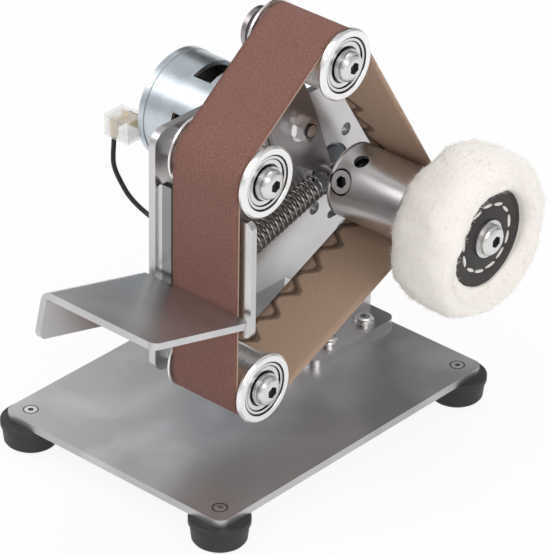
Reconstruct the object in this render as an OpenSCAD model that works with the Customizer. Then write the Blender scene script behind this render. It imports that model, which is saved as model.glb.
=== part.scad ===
// Mini belt sander: a fixed stand with a side plate that carries a can motor,
// a drive drum, three idler rollers, a belt, a spring-loaded tension arm,
// a platen, a tilting work table and a polishing wheel on the drum's nose.
// Millimetres. +Z up, X runs along the shafts, the belt's working face looks to -Y.

/* [Base and feet] */
// base plate, across the shafts' direction
base_w = 105; // [80:1:160]
// base plate, front to back
base_l = 141; // [110:1:220]
// sheet thickness of the base plate
base_t = 3; // [2:0.1:6]
// corner radius of the base plate
base_r = 4; // [1:0.5:12]
// radius of a foot's rim
foot_r = 11; // [7:0.5:18]
// radius of a foot's lower end
foot_low_r = 9.8; // [6:0.1:16]
// height of a foot
foot_h = 10; // [6:0.5:18]
// height of the foot's rim band
foot_rim_h = 3; // [1:0.1:6]
// rounding of the foot's lower edge
foot_edge = 1.3; // [0.5:0.1:3]
// foot screws to the plate's edges
foot_in = 6.9; // [5:0.1:14]
// shank radius of the foot screws
foot_screw_r = 1.75; // [1:0.05:3]
// length of the foot screws
foot_screw_len = 10; // [6:0.5:20]
// head radius of the foot screws
foot_head_r = 2.9; // [2:0.1:5]
// recess under a foot, radius
foot_recess_r = 5; // [3:0.1:8]
// recess under a foot, depth
foot_recess_h = 4.6; // [2:0.1:8]
// foot nut, radius over its corners
foot_nut_r = 3.45; // [2:0.05:6]
// foot nut, height
foot_nut_h = 2.6; // [1:0.1:5]

/* [Side plate] */
// sheet thickness of the side plate
plate_t = 3; // [2:0.1:6]
// working-side face of the side plate
plate_x = -2; // [-20:0.5:20]
// front edge
plate_front = -45.3; // [-60:0.1:-30]
// height of the front part's top edge
plate_top = 133; // [110:0.5:170]
// height of the rear part's top edge
plate_step = 118.6; // [100:0.2:150]
// start of the slope between the two top edges
plate_slope_a = 22.7; // [10:0.1:30]
// end of the slope between the two top edges
plate_slope_b = 33.2; // [26:0.1:45]
// height of the front lobe's lower edge, under the lower axle
plate_low = 38; // [20:0.5:42]
// front lobe: its rear edge, where the arch starts
plate_low_a = -18; // [-26:0.5:0]
// front lobe: radius of its lower corners
lobe_r = 5; // [1:0.5:8]
// arch over the base: height of its top
arch_z = 48.2; // [44:0.1:51]
// arch over the base: radius of its inner corner
arch_r = 3; // [1:0.5:8]
// front end of the foot flange and rear edge of the arch
flange_front = 25.5; // [0:0.5:34]
// width of the foot flange past the plate
flange_w = 12.6; // [8:0.1:24]
// top-front corner radius of the plate
plate_corner = 6; // [2:0.5:12]
// other corner radii of the plate
plate_small = 4; // [1:0.5:8]
// spare hole: position to the back
spare_y = 52.4; // [40:0.1:62]
// spare hole: height
spare_z = 57.3; // [30:0.1:60]
// spare hole: radius
spare_r = 2.35; // [1.5:0.05:4]
// short slot: position to the back
short_y = 46.3; // [40:0.1:60]
// short slot: height
short_z = 64.4; // [60:0.1:66]
// short slot: half width
short_r = 1.6; // [1:0.1:3]
// short slot: length between end centres
short_len = 3; // [1:0.1:8]
// flange screws: distance from the plate's face
flange_screw_x = 6.4; // [4:0.1:16]
// flange screws: rear one, distance from the flange's end
flange_screw_in = 11.3; // [6:0.1:20]
// flange screws: distance apart
flange_pitch = 20; // [12:0.5:40]

/* [Belt and rollers] */
// belt width
belt_w = 30; // [20:1:50]
// belt thickness
belt_t = 0.7; // [0.4:0.1:2]
// belt's near edge to the rollers' near face
belt_in = 2.3; // [0.4:0.1:4]
// air between the belt's back and the rollers' tubes
belt_gap = 0.3; // [0.05:0.05:0.5]
// radius of the idler rollers' end rims
roller_r = 12.9; // [8:0.1:20]
// radius of the idler rollers' tube under the belt
tube_r = 11; // [7.5:0.1:19]
// width of the idler rollers' end rims
rim_w = 1.5; // [0.9:0.1:3]
// length of the idler rollers
roller_len = 34.5; // [20:0.5:60]
// rollers' rear face from the side plate
roller_gap = 6.9; // [4:0.1:14]
// chamfer of the rollers' rims
roller_edge = 0.7; // [0.2:0.1:2]
// lower idler, front to back
low_y = -34.3; // [-60:0.1:0]
// lower idler, height
low_z = 44.7; // [30:0.1:80]
// front upper idler, front to back
up_y = -34.3; // [-60:0.1:0]
// front upper idler, height
up_z = 125.6; // [90:0.1:150]
// tension idler, front to back
ten_y = 4.5; // [-20:0.1:30]
// tension idler, height
ten_z = 155.2; // [130:0.1:190]
// drive drum and motor axis, front to back
drive_y = 45.6; // [30:0.1:60]
// drive drum and motor axis, height
drive_z = 83.4; // [60:0.1:110]
// drive drum radius
drum_r = 14; // [9:0.1:22]
// drive drum rear face from the side plate
drum_gap = 10; // [6:0.5:16]
// drive drum length
drum_len = 35.5; // [24:0.5:60]
// radius of the drum's front nose
nose_r = 8; // [5:0.5:12]
// width of the drum's grooves
groove_w = 1; // [0.5:0.1:2]
// depth of the drum's grooves
groove_d = 0.7; // [0.3:0.1:2]

/* [Bearings and axles] */
// bearing outer radius
brg_r = 9.5; // [6:0.1:14]
// outer ring: inner radius
brg_out = 8.4; // [5:0.1:12]
// inner ring: outer radius
brg_in = 4.4; // [3:0.1:7]
// bearing bore radius
brg_bore = 3.02; // [2:0.01:5]
// bearing width
brg_w = 6; // [3:0.1:10]
// bearing set back in the roller
brg_set = 0.5; // [0.1:0.1:2]
// ball radius
ball_r = 1.6; // [1:0.05:3]
// shield thickness
shield_t = 0.5; // [0.2:0.1:1]
// shield set back from the ring's face
shield_in = 0.4; // [0.1:0.05:1]
// open ring between a shield and the inner ring
shield_gap = 0.45; // [0.1:0.05:1]
// washer under the axle screw's head, radius
axle_washer_r = 6; // [5:0.1:8]
// washer under the axle screw's head, thickness
axle_washer_t = 0.8; // [0.4:0.1:2]
// axle screw radius
axle_r = 3; // [2:0.1:5]
// axle screw head radius
axle_head_r = 5.4; // [4:0.1:8]
// axle screw head height
axle_head_h = 3.2; // [2:0.1:5]
// axle screw socket radius
axle_hex_r = 2.3; // [1:0.1:4]
// axle nut, radius over its corners
axle_nut_r = 5.77; // [4:0.01:8]
// axle jam nut, height
axle_nut_h = 3.2; // [2:0.1:4.5]
// axle screw's end past the side plate or the arm
axle_past = 0.8; // [0.2:0.1:4]
// spacer radius
spacer_r = 4.2; // [3.5:0.1:6]

/* [Tension arm and spring] */
// arm sheet thickness
arm_t = 2; // [1:0.1:4]
// air between arm and side plate
arm_gap = 0.4; // [0.1:0.1:2]
// arm pivot, front to back
arm_y = 25.8; // [10:0.1:40]
// arm pivot, height
arm_z = 109.3; // [90:0.1:125]
// arm radius around the roller's axle
arm_top_r = 8; // [6:0.1:12]
// arm radius around the pivot
arm_hub_r = 9; // [6:0.1:14]
// arm's broad side, centre front to back
arm_side_y = 22.5; // [10:0.1:40]
// arm's broad side, centre height
arm_side_z = 107; // [90:0.1:125]
// arm's broad side, radius
arm_side_r = 9.5; // [6:0.1:14]
// spring pin on the arm, front to back
hook_y = 40.6; // [30:0.1:50]
// spring pin on the arm, height
hook_z = 86.8; // [70:0.1:100]
// arm radius around the spring pin
arm_tail_r = 2.7; // [2:0.1:6]
// pivot and table screw radius
m5_r = 2.5; // [1.5:0.1:4]
// pivot and table screw head radius
m5_head_r = 4.75; // [3:0.05:7]
// pivot and table screw head height
m5_head_h = 2.75; // [1.5:0.05:5]
// pivot and table screw socket radius
m5_hex_r = 1.75; // [1:0.05:3]
// pivot and table nut, radius over its corners
m5_nut_r = 4.62; // [3:0.01:7]
// pivot and table nut, height
m5_nut_h = 4; // [2:0.1:6]
// screw end past the nut
m5_past = 0.8; // [0.2:0.1:3]
// washer radius on the pivot
washer_r = 5.4; // [4:0.1:8]
// outer washer thickness on the pivot
washer_t = 1; // [0.4:0.1:2]
// spring anchor, front to back
anchor_y = -8; // [-20:0.5:0]
// spring anchor, height
anchor_z = 73.2; // [60:0.1:90]
// radius of the spring pins
pin_r = 1.5; // [1:0.1:3]
// head radius of the spring pins
pin_head_r = 2.3; // [1.5:0.1:4]
// head thickness of the spring pins
pin_head_t = 1; // [0.5:0.1:2]
// spring axis from the side plate's face
spring_off = 5.3; // [4:0.1:10]
// spring pins: length past the spring's axis
pin_past = 2.6; // [1.5:0.1:4]
// spring wire radius
wire_r = 0.6; // [0.3:0.05:1]
// spring coil radius at the wire's middle
coil_r = 4.05; // [2.5:0.05:6]
// spring coil pitch
coil_pitch = 2.4; // [1.8:0.05:4]
// first coil from the anchor
coil_start = 6.2; // [4:0.1:10]
// hook loop radius at the wire's middle
loop_r = 2.55; // [1.5:0.05:4]

/* [Platen and work table] */
// platen thickness
platen_t = 2.6; // [2:0.1:6]
// platen's front face behind the belt
platen_gap = 1.15; // [0.1:0.05:2]
// platen's near edge past the belt
platen_past = 4.3; // [0:0.1:8]
// platen lower end
platen_z0 = 69.4; // [50:0.1:90]
// platen upper end
platen_z1 = 114.3; // [95:0.1:125]
// platen corner radius
platen_r = 3; // [1:0.5:6]
// platen leg: lower end
leg_z0 = 80; // [70:0.5:95]
// platen leg: upper end
leg_z1 = 110; // [96:0.5:112]
// platen leg: length behind the bar
leg_len = 13; // [8:0.5:20]
// platen screw spacing
leg_pitch = 18; // [10:0.5:30]
// platen and flange screw radius
m4_r = 2; // [1.5:0.1:3]
// platen and flange screw head radius
m4_head_r = 3.9; // [2.5:0.1:6]
// platen and flange screw head height
m4_head_h = 2.6; // [1.5:0.1:4]
// platen and flange screw socket radius
m4_hex_r = 1.44; // [1:0.02:3]
// table sheet thickness
table_t = 2.5; // [1.5:0.1:4]
// table length away from the belt
table_len = 48.6; // [30:0.1:80]
// table width
table_w = 51.4; // [35:0.1:80]
// table inner edge, front to back
table_y = -47.3; // [-60:0.1:-40]
// table inner edge, height
table_z = 79; // [60:0.1:100]
// table tilt, outer edge up
table_tilt = 14.6; // [-5:0.1:30]
// table flange depth
table_drop = 17.4; // [10:0.1:30]
// table bend, outer radius
table_bend = 3.5; // [3:0.1:6]
// ear behind the table's inner edge: screw position
ear_y = 15; // [10:0.1:24]
// ear: half height
ear_r = 6.5; // [5:0.1:9]

/* [Motor] */
// can radius
can_r = 21.15; // [15:0.05:30]
// can length
can_len = 71.6; // [50:0.1:100]
// can wall
can_t = 1.7; // [1:0.1:3]
// rear band height
band_h = 2.6; // [1:0.1:6]
// rear band step
band_t = 0.35; // [0.1:0.05:1]
// boss radius in front
boss_r = 8.75; // [6:0.05:12]
// boss hole radius in the side plate
boss_hole_r = 10; // [7:0.1:14]
// vent windows: nearer end from the can's rear
vent_a = 15.6; // [8:0.1:25]
// vent windows: length
vent_len = 8.5; // [4:0.1:15]
// vent windows: corner radius
vent_r = 1.6; // [0.5:0.1:3]
// motor shaft radius
shaft_r = 2.5; // [1.5:0.1:4]
// motor screw circle radius
screw_circle = 14.5; // [11:0.1:18]
// open mounting holes: circle radius
open_circle = 15.3; // [11:0.1:18]
// open mounting holes: radius
open_r = 2.5; // [1.5:0.1:4]
// magnet thickness
magnet_t = 3.2; // [2:0.1:5]
// magnet length
magnet_len = 38; // [20:0.5:60]
// armature core radius
core_r = 15.4; // [10:0.1:22]
// armature core length
core_len = 34; // [20:0.5:60]
// winding head length
head_len = 6; // [3:0.1:12]
// commutator radius
comm_r = 5; // [3:0.1:8]
// commutator length
comm_len = 8; // [4:0.1:14]
// end cap thickness
cap_t = 4; // [2:0.1:8]
// end cap boss radius
cap_boss_r = 8; // [6:0.1:12]
// end cap boss length
cap_boss_len = 3.2; // [2:0.1:8]
// terminal circle radius
term_circle = 17; // [12:0.1:19]
// terminal thickness
term_t = 0.8; // [0.4:0.1:1.5]
// terminal width
term_w = 4.8; // [3:0.1:7]
// terminal length past the can
term_len = 9; // [6:0.1:14]

/* [Leads and inlet] */
// lead radius
lead_r = 0.95; // [0.5:0.05:2]
// connector sleeve length
sleeve_x = 12; // [8:0.1:18]
// connector sleeve width
sleeve_y = 10; // [6:0.1:14]
// connector sleeve height
sleeve_z = 9; // [6:0.1:14]
// connector sleeve wall
sleeve_t = 0.7; // [0.4:0.1:1.5]
// inlet bracket thickness
brk_t = 1.5; // [1:0.1:3]
// inlet bracket: front face
brk_y = -12; // [-25:0.5:0]
// inlet bracket: width
brk_w = 19; // [14:0.5:30]
// inlet bracket: lower edge
brk_z = 52; // [40:0.5:70]
// inlet bracket: height
brk_h = 18; // [14:0.5:30]
// inlet bracket: leg length
brk_leg = 15; // [10:0.5:24]
// inlet body radius
inlet_r = 5.4; // [4:0.1:8]
// inlet flange radius
inlet_flange_r = 6.9; // [5:0.1:10]
// inlet flange thickness
inlet_flange_t = 2; // [1:0.1:4]
// inlet body length behind the flange
inlet_len = 14; // [8:0.5:24]
// inlet bore radius
inlet_bore = 3.1; // [2:0.05:4]
// inlet bore depth
inlet_depth = 10; // [6:0.5:14]
// inlet pin radius
inlet_pin_r = 1.0; // [0.5:0.05:1.5]
// small screw radius
m3_r = 1.5; // [1:0.05:2.5]
// small screw head radius
m3_head_r = 2.8; // [2:0.05:4]
// small screw head height
m3_head_h = 1.7; // [1:0.05:3]
// small screw socket radius
m3_hex_r = 1.1; // [0.6:0.05:2]
// small nut, radius over its corners
m3_nut_r = 3.2; // [2:0.05:5]
// small nut, height
m3_nut_h = 2.4; // [1:0.1:4]

/* [Polishing wheel] */
// wheel radius
buff_r = 30.3; // [20:0.1:45]
// wheel's rear side
buff_x0 = 49.4; // [45:0.1:60]
// wheel's thickness at its middle
buff_t = 20; // [12:0.1:30]
// wheel's bulge past its middle part, front side
buff_bulge = 5.2; // [0:0.1:5.2]
// wheel's bulge past its middle part, rear side
buff_rear_bulge = 0.5; // [0:0.1:0.9]
// wheel's rim rounding
buff_round = 7; // [3:0.1:9]
// leather disc radius
leather_r = 18.7; // [12:0.1:26]
// leather disc thickness
leather_t = 1; // [0.5:0.1:2]
// front washer radius
buff_washer_r = 7; // [5:0.1:10]
// front washer thickness
buff_washer_t = 1; // [0.5:0.1:2]
// clamping screw head radius
buff_head_r = 5.7; // [4:0.1:8]
// clamping screw thread length in the drum
buff_grip = 12; // [6:0.5:20]

/* [Hidden] */
// round faces, large and small
$fn = 64;
small_fn = 32;
hexa = 6;
// clearance of holes around their screws, and of running fits
slip = 0.2;
fit = 0.05;
tiny = 0.5;

z_base = foot_h;
z_top = foot_h + base_t;
plate_x0 = plate_x - plate_t;
plate_rear = base_l / 2;
roller_x0 = plate_x + roller_gap;
roller_x1 = roller_x0 + roller_len;
belt_x1 = roller_x1 - belt_in;
belt_x0 = belt_x1 - belt_w;
drum_x0 = plate_x + drum_gap;
drum_x1 = drum_x0 + drum_len;
arm_x0 = plate_x + arm_gap;
arm_x1 = arm_x0 + arm_t;
spring_x = plate_x + spring_off;
can_x1 = plate_x0;
can_x0 = can_x1 - can_len;
brg_near_x = roller_x1 - brg_set;
brg_far_x = roller_x0 + brg_set;
screw_angle = 147.6;
open_angle = 57.6;
term_angle = 191.3;
vent_angle = 48;
vent_turns = [0, 90, 180, 270];
magnet_angle = 118;
slot_count = 5;
ball_count = 7;
dome_steps = 5;
quarter = 90;
half_turn = 180;
full_turn = 360;
// counterbored screw and set screw on the drum: distance from its rear face, angle, radii
lock_x = 5.7;
lock_angle = 156;
lock_r = 4.9;
lock_depth = 4.2;
lock_head_r = 4.2;
lock_head_h = 3.6;
grub_x = 9.5;
grub_angle = 115;
grub_r = 2.8;
grub_depth = 3;
grub_hex_r = 1.15;
grub_hex_depth = 2;
lock_shank_r = 2;
grub_thread_r = 2;
drum_bore_len = 18;
magnet_start = 8;
core_start = 12;
slot_half = 1.3;
slot_deep = 7.5;
core_hub = 5.2;
winding_r = 13.2;
comm_gap = 1.5;
brush_gap = 0.1;
brush_len = 7;
brush_w = 4.5;
brush_h = 5;
holder_t = 0.6;
bearing_in_r = 2.52;
bearing_mid_r = 4;
bearing_out_r = 6.5;
bearing_w = 3.6;
bearing_lip = 0.8;
cap_fit = 0.05;
wheel_bore = 3.1;
wheel_screw_r = 3;
wheel_screw_room = 2;
sink_share = 0.42;
rim_share = 0.35;
flat_share = 0.42;
hex_depth_share = 0.6;

// connector sleeves: air to the can's rear
sleeve_in = 1.5;

// the model's middle stands over the origin
x_low = can_x1 - can_len - sleeve_in - sleeve_x;
x_high = buff_x0 + buff_t + leather_t + buff_washer_t + axle_head_h;
y_low = table_y - (table_len - platen_r) * cos(table_tilt) - (table_drop - platen_r) * sin(table_tilt) - platen_r;
y_high = max(drive_y + buff_r, base_l / 2 - foot_in + foot_r);
middle = [-(x_low + x_high) / 2, -(y_low + y_high) / 2, 0];

// Shared shapes

module placed() {
    translate(middle) children();
}

module yz(x0, x1) {
    translate([x0, 0, 0]) rotate([quarter, 0, quarter]) linear_extrude(height = x1 - x0) children();
}

module along_x(x0, y, z) {
    translate([x0, y, z]) rotate([0, quarter, 0]) children();
}

module rod_x(x0, x1, y, z, r) {
    along_x(x0, y, z) cylinder(h = x1 - x0, r = r);
}

module tube_x(x0, x1, y, z, r, bore) {
    along_x(x0, y, z) difference() {
        cylinder(h = x1 - x0, r = r);
        translate([0, 0, -tiny]) cylinder(h = x1 - x0 + 2 * tiny, r = bore);
    }
}

module box_at(x0, x1, y0, y1, z0, z1) {
    translate([x0, y0, z0]) cube([x1 - x0, y1 - y0, z1 - z0]);
}

// screw along +Z: its head stands on z = 0, its shank hangs below
module button_screw(len, r, head_r, head_h, hex_r) {
    difference() {
        rotate_extrude($fn = small_fn) polygon(concat(
            [[0, -len], [r, -len], [r, 0], [head_r, 0]],
            [for (i = [0:dome_steps]) [
                head_r * (flat_share + (1 - flat_share) * cos(quarter * i / dome_steps)),
                head_h * (rim_share + (1 - rim_share) * sin(quarter * i / dome_steps))]],
            [[0, head_h]]));
        translate([0, 0, head_h * (1 - hex_depth_share)])
            cylinder(h = head_h, r = hex_r, $fn = hexa);
    }
}

// countersunk screw along +Z: its flat top lies on z = 0
module sunk_screw(len, r, head_r, hex_r) {
    sink = head_r - r;
    difference() {
        rotate_extrude($fn = small_fn)
            polygon([[0, -len], [r, -len], [r, -sink], [head_r, 0], [0, 0]]);
        translate([0, 0, -sink * (1 - rim_share)]) cylinder(h = head_r, r = hex_r, $fn = hexa);
    }
}

module nut_z(r, h, bore) {
    difference() {
        cylinder(h = h, r = r, $fn = hexa);
        translate([0, 0, -tiny]) cylinder(h = h + 2 * tiny, r = bore, $fn = small_fn);
    }
}

// outline of a link between two round ends
module link(a, ra, b, rb) {
    d = b - a;
    len = norm(d);
    turn = atan2(d[1], d[0]);
    open = acos((ra - rb) / len);
    p = [cos(turn + open), sin(turn + open)];
    q = [cos(turn - open), sin(turn - open)];
    polygon([a + ra * p, a + ra * q, b + rb * q, b + rb * p]);
    translate(a) circle(r = ra);
    translate(b) circle(r = rb);
}

module round_rect(x0, x1, y0, y1, r) {
    translate([x0 + r, y0]) square([x1 - x0 - 2 * r, y1 - y0]);
    translate([x0, y0 + r]) square([x1 - x0, y1 - y0 - 2 * r]);
    for (x = [x0 + r, x1 - r], y = [y0 + r, y1 - r]) translate([x, y]) circle(r = r, $fn = small_fn);
}

// Base and feet

foot_xs = [-base_w / 2 + foot_in, base_w / 2 - foot_in];
foot_ys = [-base_l / 2 + foot_in, base_l / 2 - foot_in];
flange_ys = [plate_rear - flange_screw_in - flange_pitch, plate_rear - flange_screw_in];
flange_hole_x = plate_x + flange_screw_x;

module at_feet(z) {
    for (x = foot_xs, y = foot_ys) translate([x, y, z]) children();
}

module at_flange(z) {
    for (y = flange_ys) translate([flange_hole_x, y, z]) children();
}

module base_plate() placed() {
    color("silver") difference() {
        translate([0, 0, z_base]) linear_extrude(height = base_t)
            round_rect(-base_w / 2, base_w / 2, -base_l / 2, base_l / 2, base_r);
        at_feet(z_base - tiny) cylinder(h = base_t + 2 * tiny, r = foot_screw_r + slip, $fn = small_fn);
        at_feet(z_top - foot_head_r + foot_screw_r)
            cylinder(h = foot_head_r - foot_screw_r, r1 = foot_screw_r, r2 = foot_head_r, $fn = small_fn);
        at_flange(z_base - tiny) cylinder(h = base_t + 2 * tiny, r = m4_r, $fn = small_fn);
    }
}

module rubber_feet() placed() {
    color("black") at_feet(0) difference() {
        rotate_extrude() polygon([
            [0, 0], [foot_low_r - foot_edge, 0], [foot_low_r - foot_edge * sink_share, foot_edge * sink_share],
            [foot_low_r, foot_edge], [foot_r - foot_edge * sink_share, foot_h - foot_rim_h],
            [foot_r, foot_h - foot_rim_h + foot_edge * sink_share],
            [foot_r, foot_h - foot_edge * sink_share], [foot_r - foot_edge * sink_share, foot_h],
            [0, foot_h]]);
        translate([0, 0, -tiny]) cylinder(h = foot_h + 2 * tiny, r = foot_screw_r, $fn = small_fn);
        translate([0, 0, -tiny]) cylinder(h = foot_recess_h + tiny, r = foot_recess_r, $fn = small_fn);
    }
}

module foot_screws() placed() {
    color("silver") at_feet(z_top) sunk_screw(foot_screw_len, foot_screw_r, foot_head_r, m3_hex_r);
}

module foot_nuts() placed() {
    color("silver") at_feet(foot_recess_h - foot_nut_h) nut_z(foot_nut_r, foot_nut_h, foot_screw_r);
}

// Side plate

module plate_outline() {
    polygon([
        [plate_rear, z_top], [plate_rear, plate_step - plate_small],
        [plate_rear - plate_small, plate_step], [plate_slope_b, plate_step],
        [plate_slope_a, plate_top], [plate_front + plate_corner, plate_top],
        [plate_front, plate_top - plate_corner], [plate_front, plate_low + lobe_r],
        [plate_front + lobe_r, plate_low], [plate_low_a - lobe_r, plate_low],
        [plate_low_a, plate_low + lobe_r], [plate_low_a, arch_z], [flange_front - arch_r, arch_z],
        [flange_front, arch_z - arch_r], [flange_front, z_top]]);
    translate([plate_rear - plate_small, plate_step - plate_small]) circle(r = plate_small, $fn = small_fn);
    translate([plate_front + plate_corner, plate_top - plate_corner]) circle(r = plate_corner, $fn = small_fn);
    for (y = [plate_front + lobe_r, plate_low_a - lobe_r])
        translate([y, plate_low + lobe_r]) circle(r = lobe_r, $fn = small_fn);
}

function around(y, z, r, a) = [y + r * cos(a), z + r * sin(a)];

screw_at = [for (a = [0, half_turn]) around(drive_y, drive_z, screw_circle, screw_angle + a)];
open_at = [for (a = [0, half_turn]) around(drive_y, drive_z, open_circle, open_angle + a)];
bar_y0 = low_y - tube_r - belt_gap + platen_gap;
bar_y1 = bar_y0 + platen_t;
leg_zs = [(leg_z0 + leg_z1 - leg_pitch) / 2, (leg_z0 + leg_z1 + leg_pitch) / 2];
leg_screw_y = bar_y1 + leg_len / 2;
brk_screw_y = brk_y + brk_t + brk_leg / 2;
brk_zs = [brk_z + brk_h / 4, brk_z + brk_h * 3 / 4];
axle_at = [[low_y, low_z], [up_y, up_z]];

module side_plate() placed() {
    sink = m4_head_r - m4_r;
    color("silver") difference() {
        union() {
            yz(plate_x0, plate_x) plate_outline();
            translate([0, 0, z_top]) linear_extrude(height = plate_t) {
                translate([plate_x - tiny, flange_front])
                    square([flange_w - plate_small + tiny, plate_rear - flange_front]);
                translate([plate_x - tiny, flange_front + plate_small])
                    square([flange_w + tiny, plate_rear - flange_front - 2 * plate_small]);
                for (y = [flange_front + plate_small, plate_rear - plate_small])
                    translate([plate_x + flange_w - plate_small, y]) circle(r = plate_small, $fn = small_fn);
            }
        }
        for (p = axle_at) rod_x(plate_x0 - tiny, plate_x + tiny, p[0], p[1], axle_r);
        rod_x(plate_x0 - tiny, plate_x + tiny, drive_y, drive_z, boss_hole_r);
        for (p = open_at) rod_x(plate_x0 - tiny, plate_x + tiny, p[0], p[1], open_r);
        for (p = screw_at) {
            rod_x(plate_x0 - tiny, plate_x + tiny, p[0], p[1], m4_r + slip);
            along_x(plate_x - sink, p[0], p[1]) cylinder(h = sink, r1 = m4_r, r2 = m4_head_r, $fn = small_fn);
        }
        rod_x(plate_x0 - tiny, plate_x + tiny, arm_y, arm_z, m5_r + fit);
        rod_x(plate_x0 - tiny, plate_x + tiny, pivot_yz[0], pivot_yz[1], m5_r + fit);
        rod_x(plate_x0 - tiny, plate_x + tiny, anchor_y, anchor_z, pin_r);
        rod_x(plate_x0 - tiny, plate_x + tiny, spare_y, spare_z, spare_r);
        for (z = leg_zs) rod_x(plate_x0 - tiny, plate_x + tiny, leg_screw_y, z, m4_r + slip);
        for (z = brk_zs) rod_x(plate_x0 - tiny, plate_x + tiny, brk_screw_y, z, m3_r + slip);
        yz(plate_x0 - tiny, plate_x + tiny) {
            translate([flange_front - arch_r, arch_z - arch_r]) circle(r = arch_r, $fn = small_fn);
            link([short_y, short_z], short_r, [short_y + short_len, short_z], short_r);
        }
        at_flange(z_base) cylinder(h = z_top, r = m4_r + slip, $fn = small_fn);
    }
}

module flange_screws() placed() {
    color("silver") at_flange(z_top + plate_t)
        button_screw(plate_t + base_t + tiny, m4_r, m4_head_r, m4_head_h, m4_hex_r);
}

// Platen: the bar behind the belt and its leg on the side plate

module platen() placed() {
    color("silver") difference() {
        union() {
            translate([0, bar_y1, 0]) rotate([quarter, 0, 0]) linear_extrude(height = platen_t)
                round_rect(plate_x, belt_x1 + platen_past, platen_z0, platen_z1, platen_r);
            box_at(plate_x, plate_x + platen_t, bar_y1 - tiny, bar_y1 + leg_len, leg_z0, leg_z1);
        }
        for (z = leg_zs) rod_x(plate_x - tiny, plate_x + platen_t + tiny, leg_screw_y, z, m4_r);
    }
}

module platen_screws() placed() {
    color("silver") for (z = leg_zs)
        translate([plate_x0, leg_screw_y, z]) rotate([0, -quarter, 0])
            button_screw(plate_t + platen_t, m4_r, m4_head_r, m4_head_h, m4_hex_r);
}

// Idler rollers: rimmed tube, two bearings, axle screw, jam nut on the plate's or arm's face, spacers

module roller(y, z) {
    color("silver") along_x(roller_x0, y, z) rotate_extrude() polygon([
        [brg_r - roller_edge, brg_w + brg_set], [brg_r, brg_w + brg_set],
        [brg_r, roller_edge], [brg_r + roller_edge, 0],
        [roller_r - roller_edge, 0], [roller_r, roller_edge], [roller_r, rim_w], [tube_r, rim_w],
        [tube_r, roller_len - rim_w], [roller_r, roller_len - rim_w],
        [roller_r, roller_len - roller_edge], [roller_r - roller_edge, roller_len],
        [brg_r + roller_edge, roller_len], [brg_r, roller_len - roller_edge],
        [brg_r, roller_len - brg_w - brg_set], [brg_r - roller_edge, roller_len - brg_w - brg_set]]);
}

module outer_races(y, z) {
    half = brg_w / 2;
    color("silver") for (x = [brg_far_x, brg_near_x - brg_w]) along_x(x, y, z)
        rotate_extrude() polygon([
            [brg_in + shield_gap, shield_in], [brg_out, shield_in], [brg_out, 0],
            [brg_r, 0], [brg_r, brg_w], [brg_out, brg_w], [brg_out, brg_w - shield_in],
            [brg_in + shield_gap, brg_w - shield_in], [brg_in + shield_gap, brg_w - shield_in - shield_t],
            [brg_out, brg_w - shield_in - shield_t], [brg_out, half + half * sink_share],
            [brg_out + shield_in, half], [brg_out, half - half * sink_share],
            [brg_out, shield_in + shield_t], [brg_in + shield_gap, shield_in + shield_t]]);
}

module inner_race_pair(y, z) {
    for (x = [brg_far_x, brg_near_x - brg_w]) tube_x(x, x + brg_w, y, z, brg_in, brg_bore);
}

module balls(y, z) {
    mid = (brg_in + brg_out) / 2;
    color("silver") for (x = [brg_far_x, brg_near_x - brg_w], i = [0:ball_count - 1]) {
        p = around(y, z, mid, full_turn * i / ball_count);
        translate([x + brg_w / 2, p[0], p[1]]) sphere(r = ball_r, $fn = small_fn);
    }
}

module axle_screw(x_end, y, z) {
    from = brg_near_x + axle_washer_t;
    translate([from, y, z]) rotate([0, quarter, 0])
        button_screw(from - x_end, axle_r, axle_head_r, axle_head_h, axle_hex_r);
}

module axle_tubes(x_back, y, z) {
    tube_x(x_back, brg_far_x, y, z, spacer_r, axle_r + fit);
    tube_x(brg_far_x + brg_w, brg_near_x - brg_w, y, z, spacer_r, axle_r + fit);
    tube_x(brg_near_x, brg_near_x + axle_washer_t, y, z, axle_washer_r, axle_r + fit);
}

module nut_x(x0, y, z, r, h, bore) {
    along_x(x0, y, z) nut_z(r, h, bore);
}

module axle_screws() placed() {
    color("silver") for (p = axle_at) axle_screw(plate_x0 - axle_past, p[0], p[1]);
}

module axle_spacers() placed() {
    color("silver") for (p = axle_at) axle_tubes(plate_x + axle_nut_h, p[0], p[1]);
}

module axle_nuts() placed() {
    color("silver") for (p = axle_at) nut_x(plate_x, p[0], p[1], axle_nut_r, axle_nut_h, axle_r);
}

module inner_races() placed() {
    color("silver") for (p = axle_at) inner_race_pair(p[0], p[1]);
}

module roller_lower() placed() {
    roller(low_y, low_z);
}

module outer_races_lower() placed() {
    outer_races(low_y, low_z);
}

module balls_lower() placed() {
    balls(low_y, low_z);
}

module roller_upper() placed() {
    roller(up_y, up_z);
}

module outer_races_upper() placed() {
    outer_races(up_y, up_z);
}

module balls_upper() placed() {
    balls(up_y, up_z);
}

module roller_tension() placed() {
    roller(ten_y, ten_z);
}

module outer_races_tension() placed() {
    outer_races(ten_y, ten_z);
}

module balls_tension() placed() {
    balls(ten_y, ten_z);
}

// Tension arm

module tension_arm() placed() {
    top = [ten_y, ten_z];
    hub = [arm_y, arm_z];
    side = [arm_side_y, arm_side_z];
    tail = [hook_y, hook_z];
    color("silver") difference() {
        yz(arm_x0, arm_x1) {
            link(top, arm_top_r, hub, arm_hub_r);
            link(top, arm_top_r, side, arm_side_r);
            link(hub, arm_hub_r, tail, arm_tail_r);
            link(side, arm_side_r, tail, arm_tail_r);
        }
        rod_x(arm_x0 - tiny, arm_x1 + tiny, ten_y, ten_z, axle_r);
        rod_x(arm_x0 - tiny, arm_x1 + tiny, arm_y, arm_z, m5_r + fit);
        rod_x(arm_x0 - tiny, arm_x1 + tiny, hook_y, hook_z, pin_r);
    }
}

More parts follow.
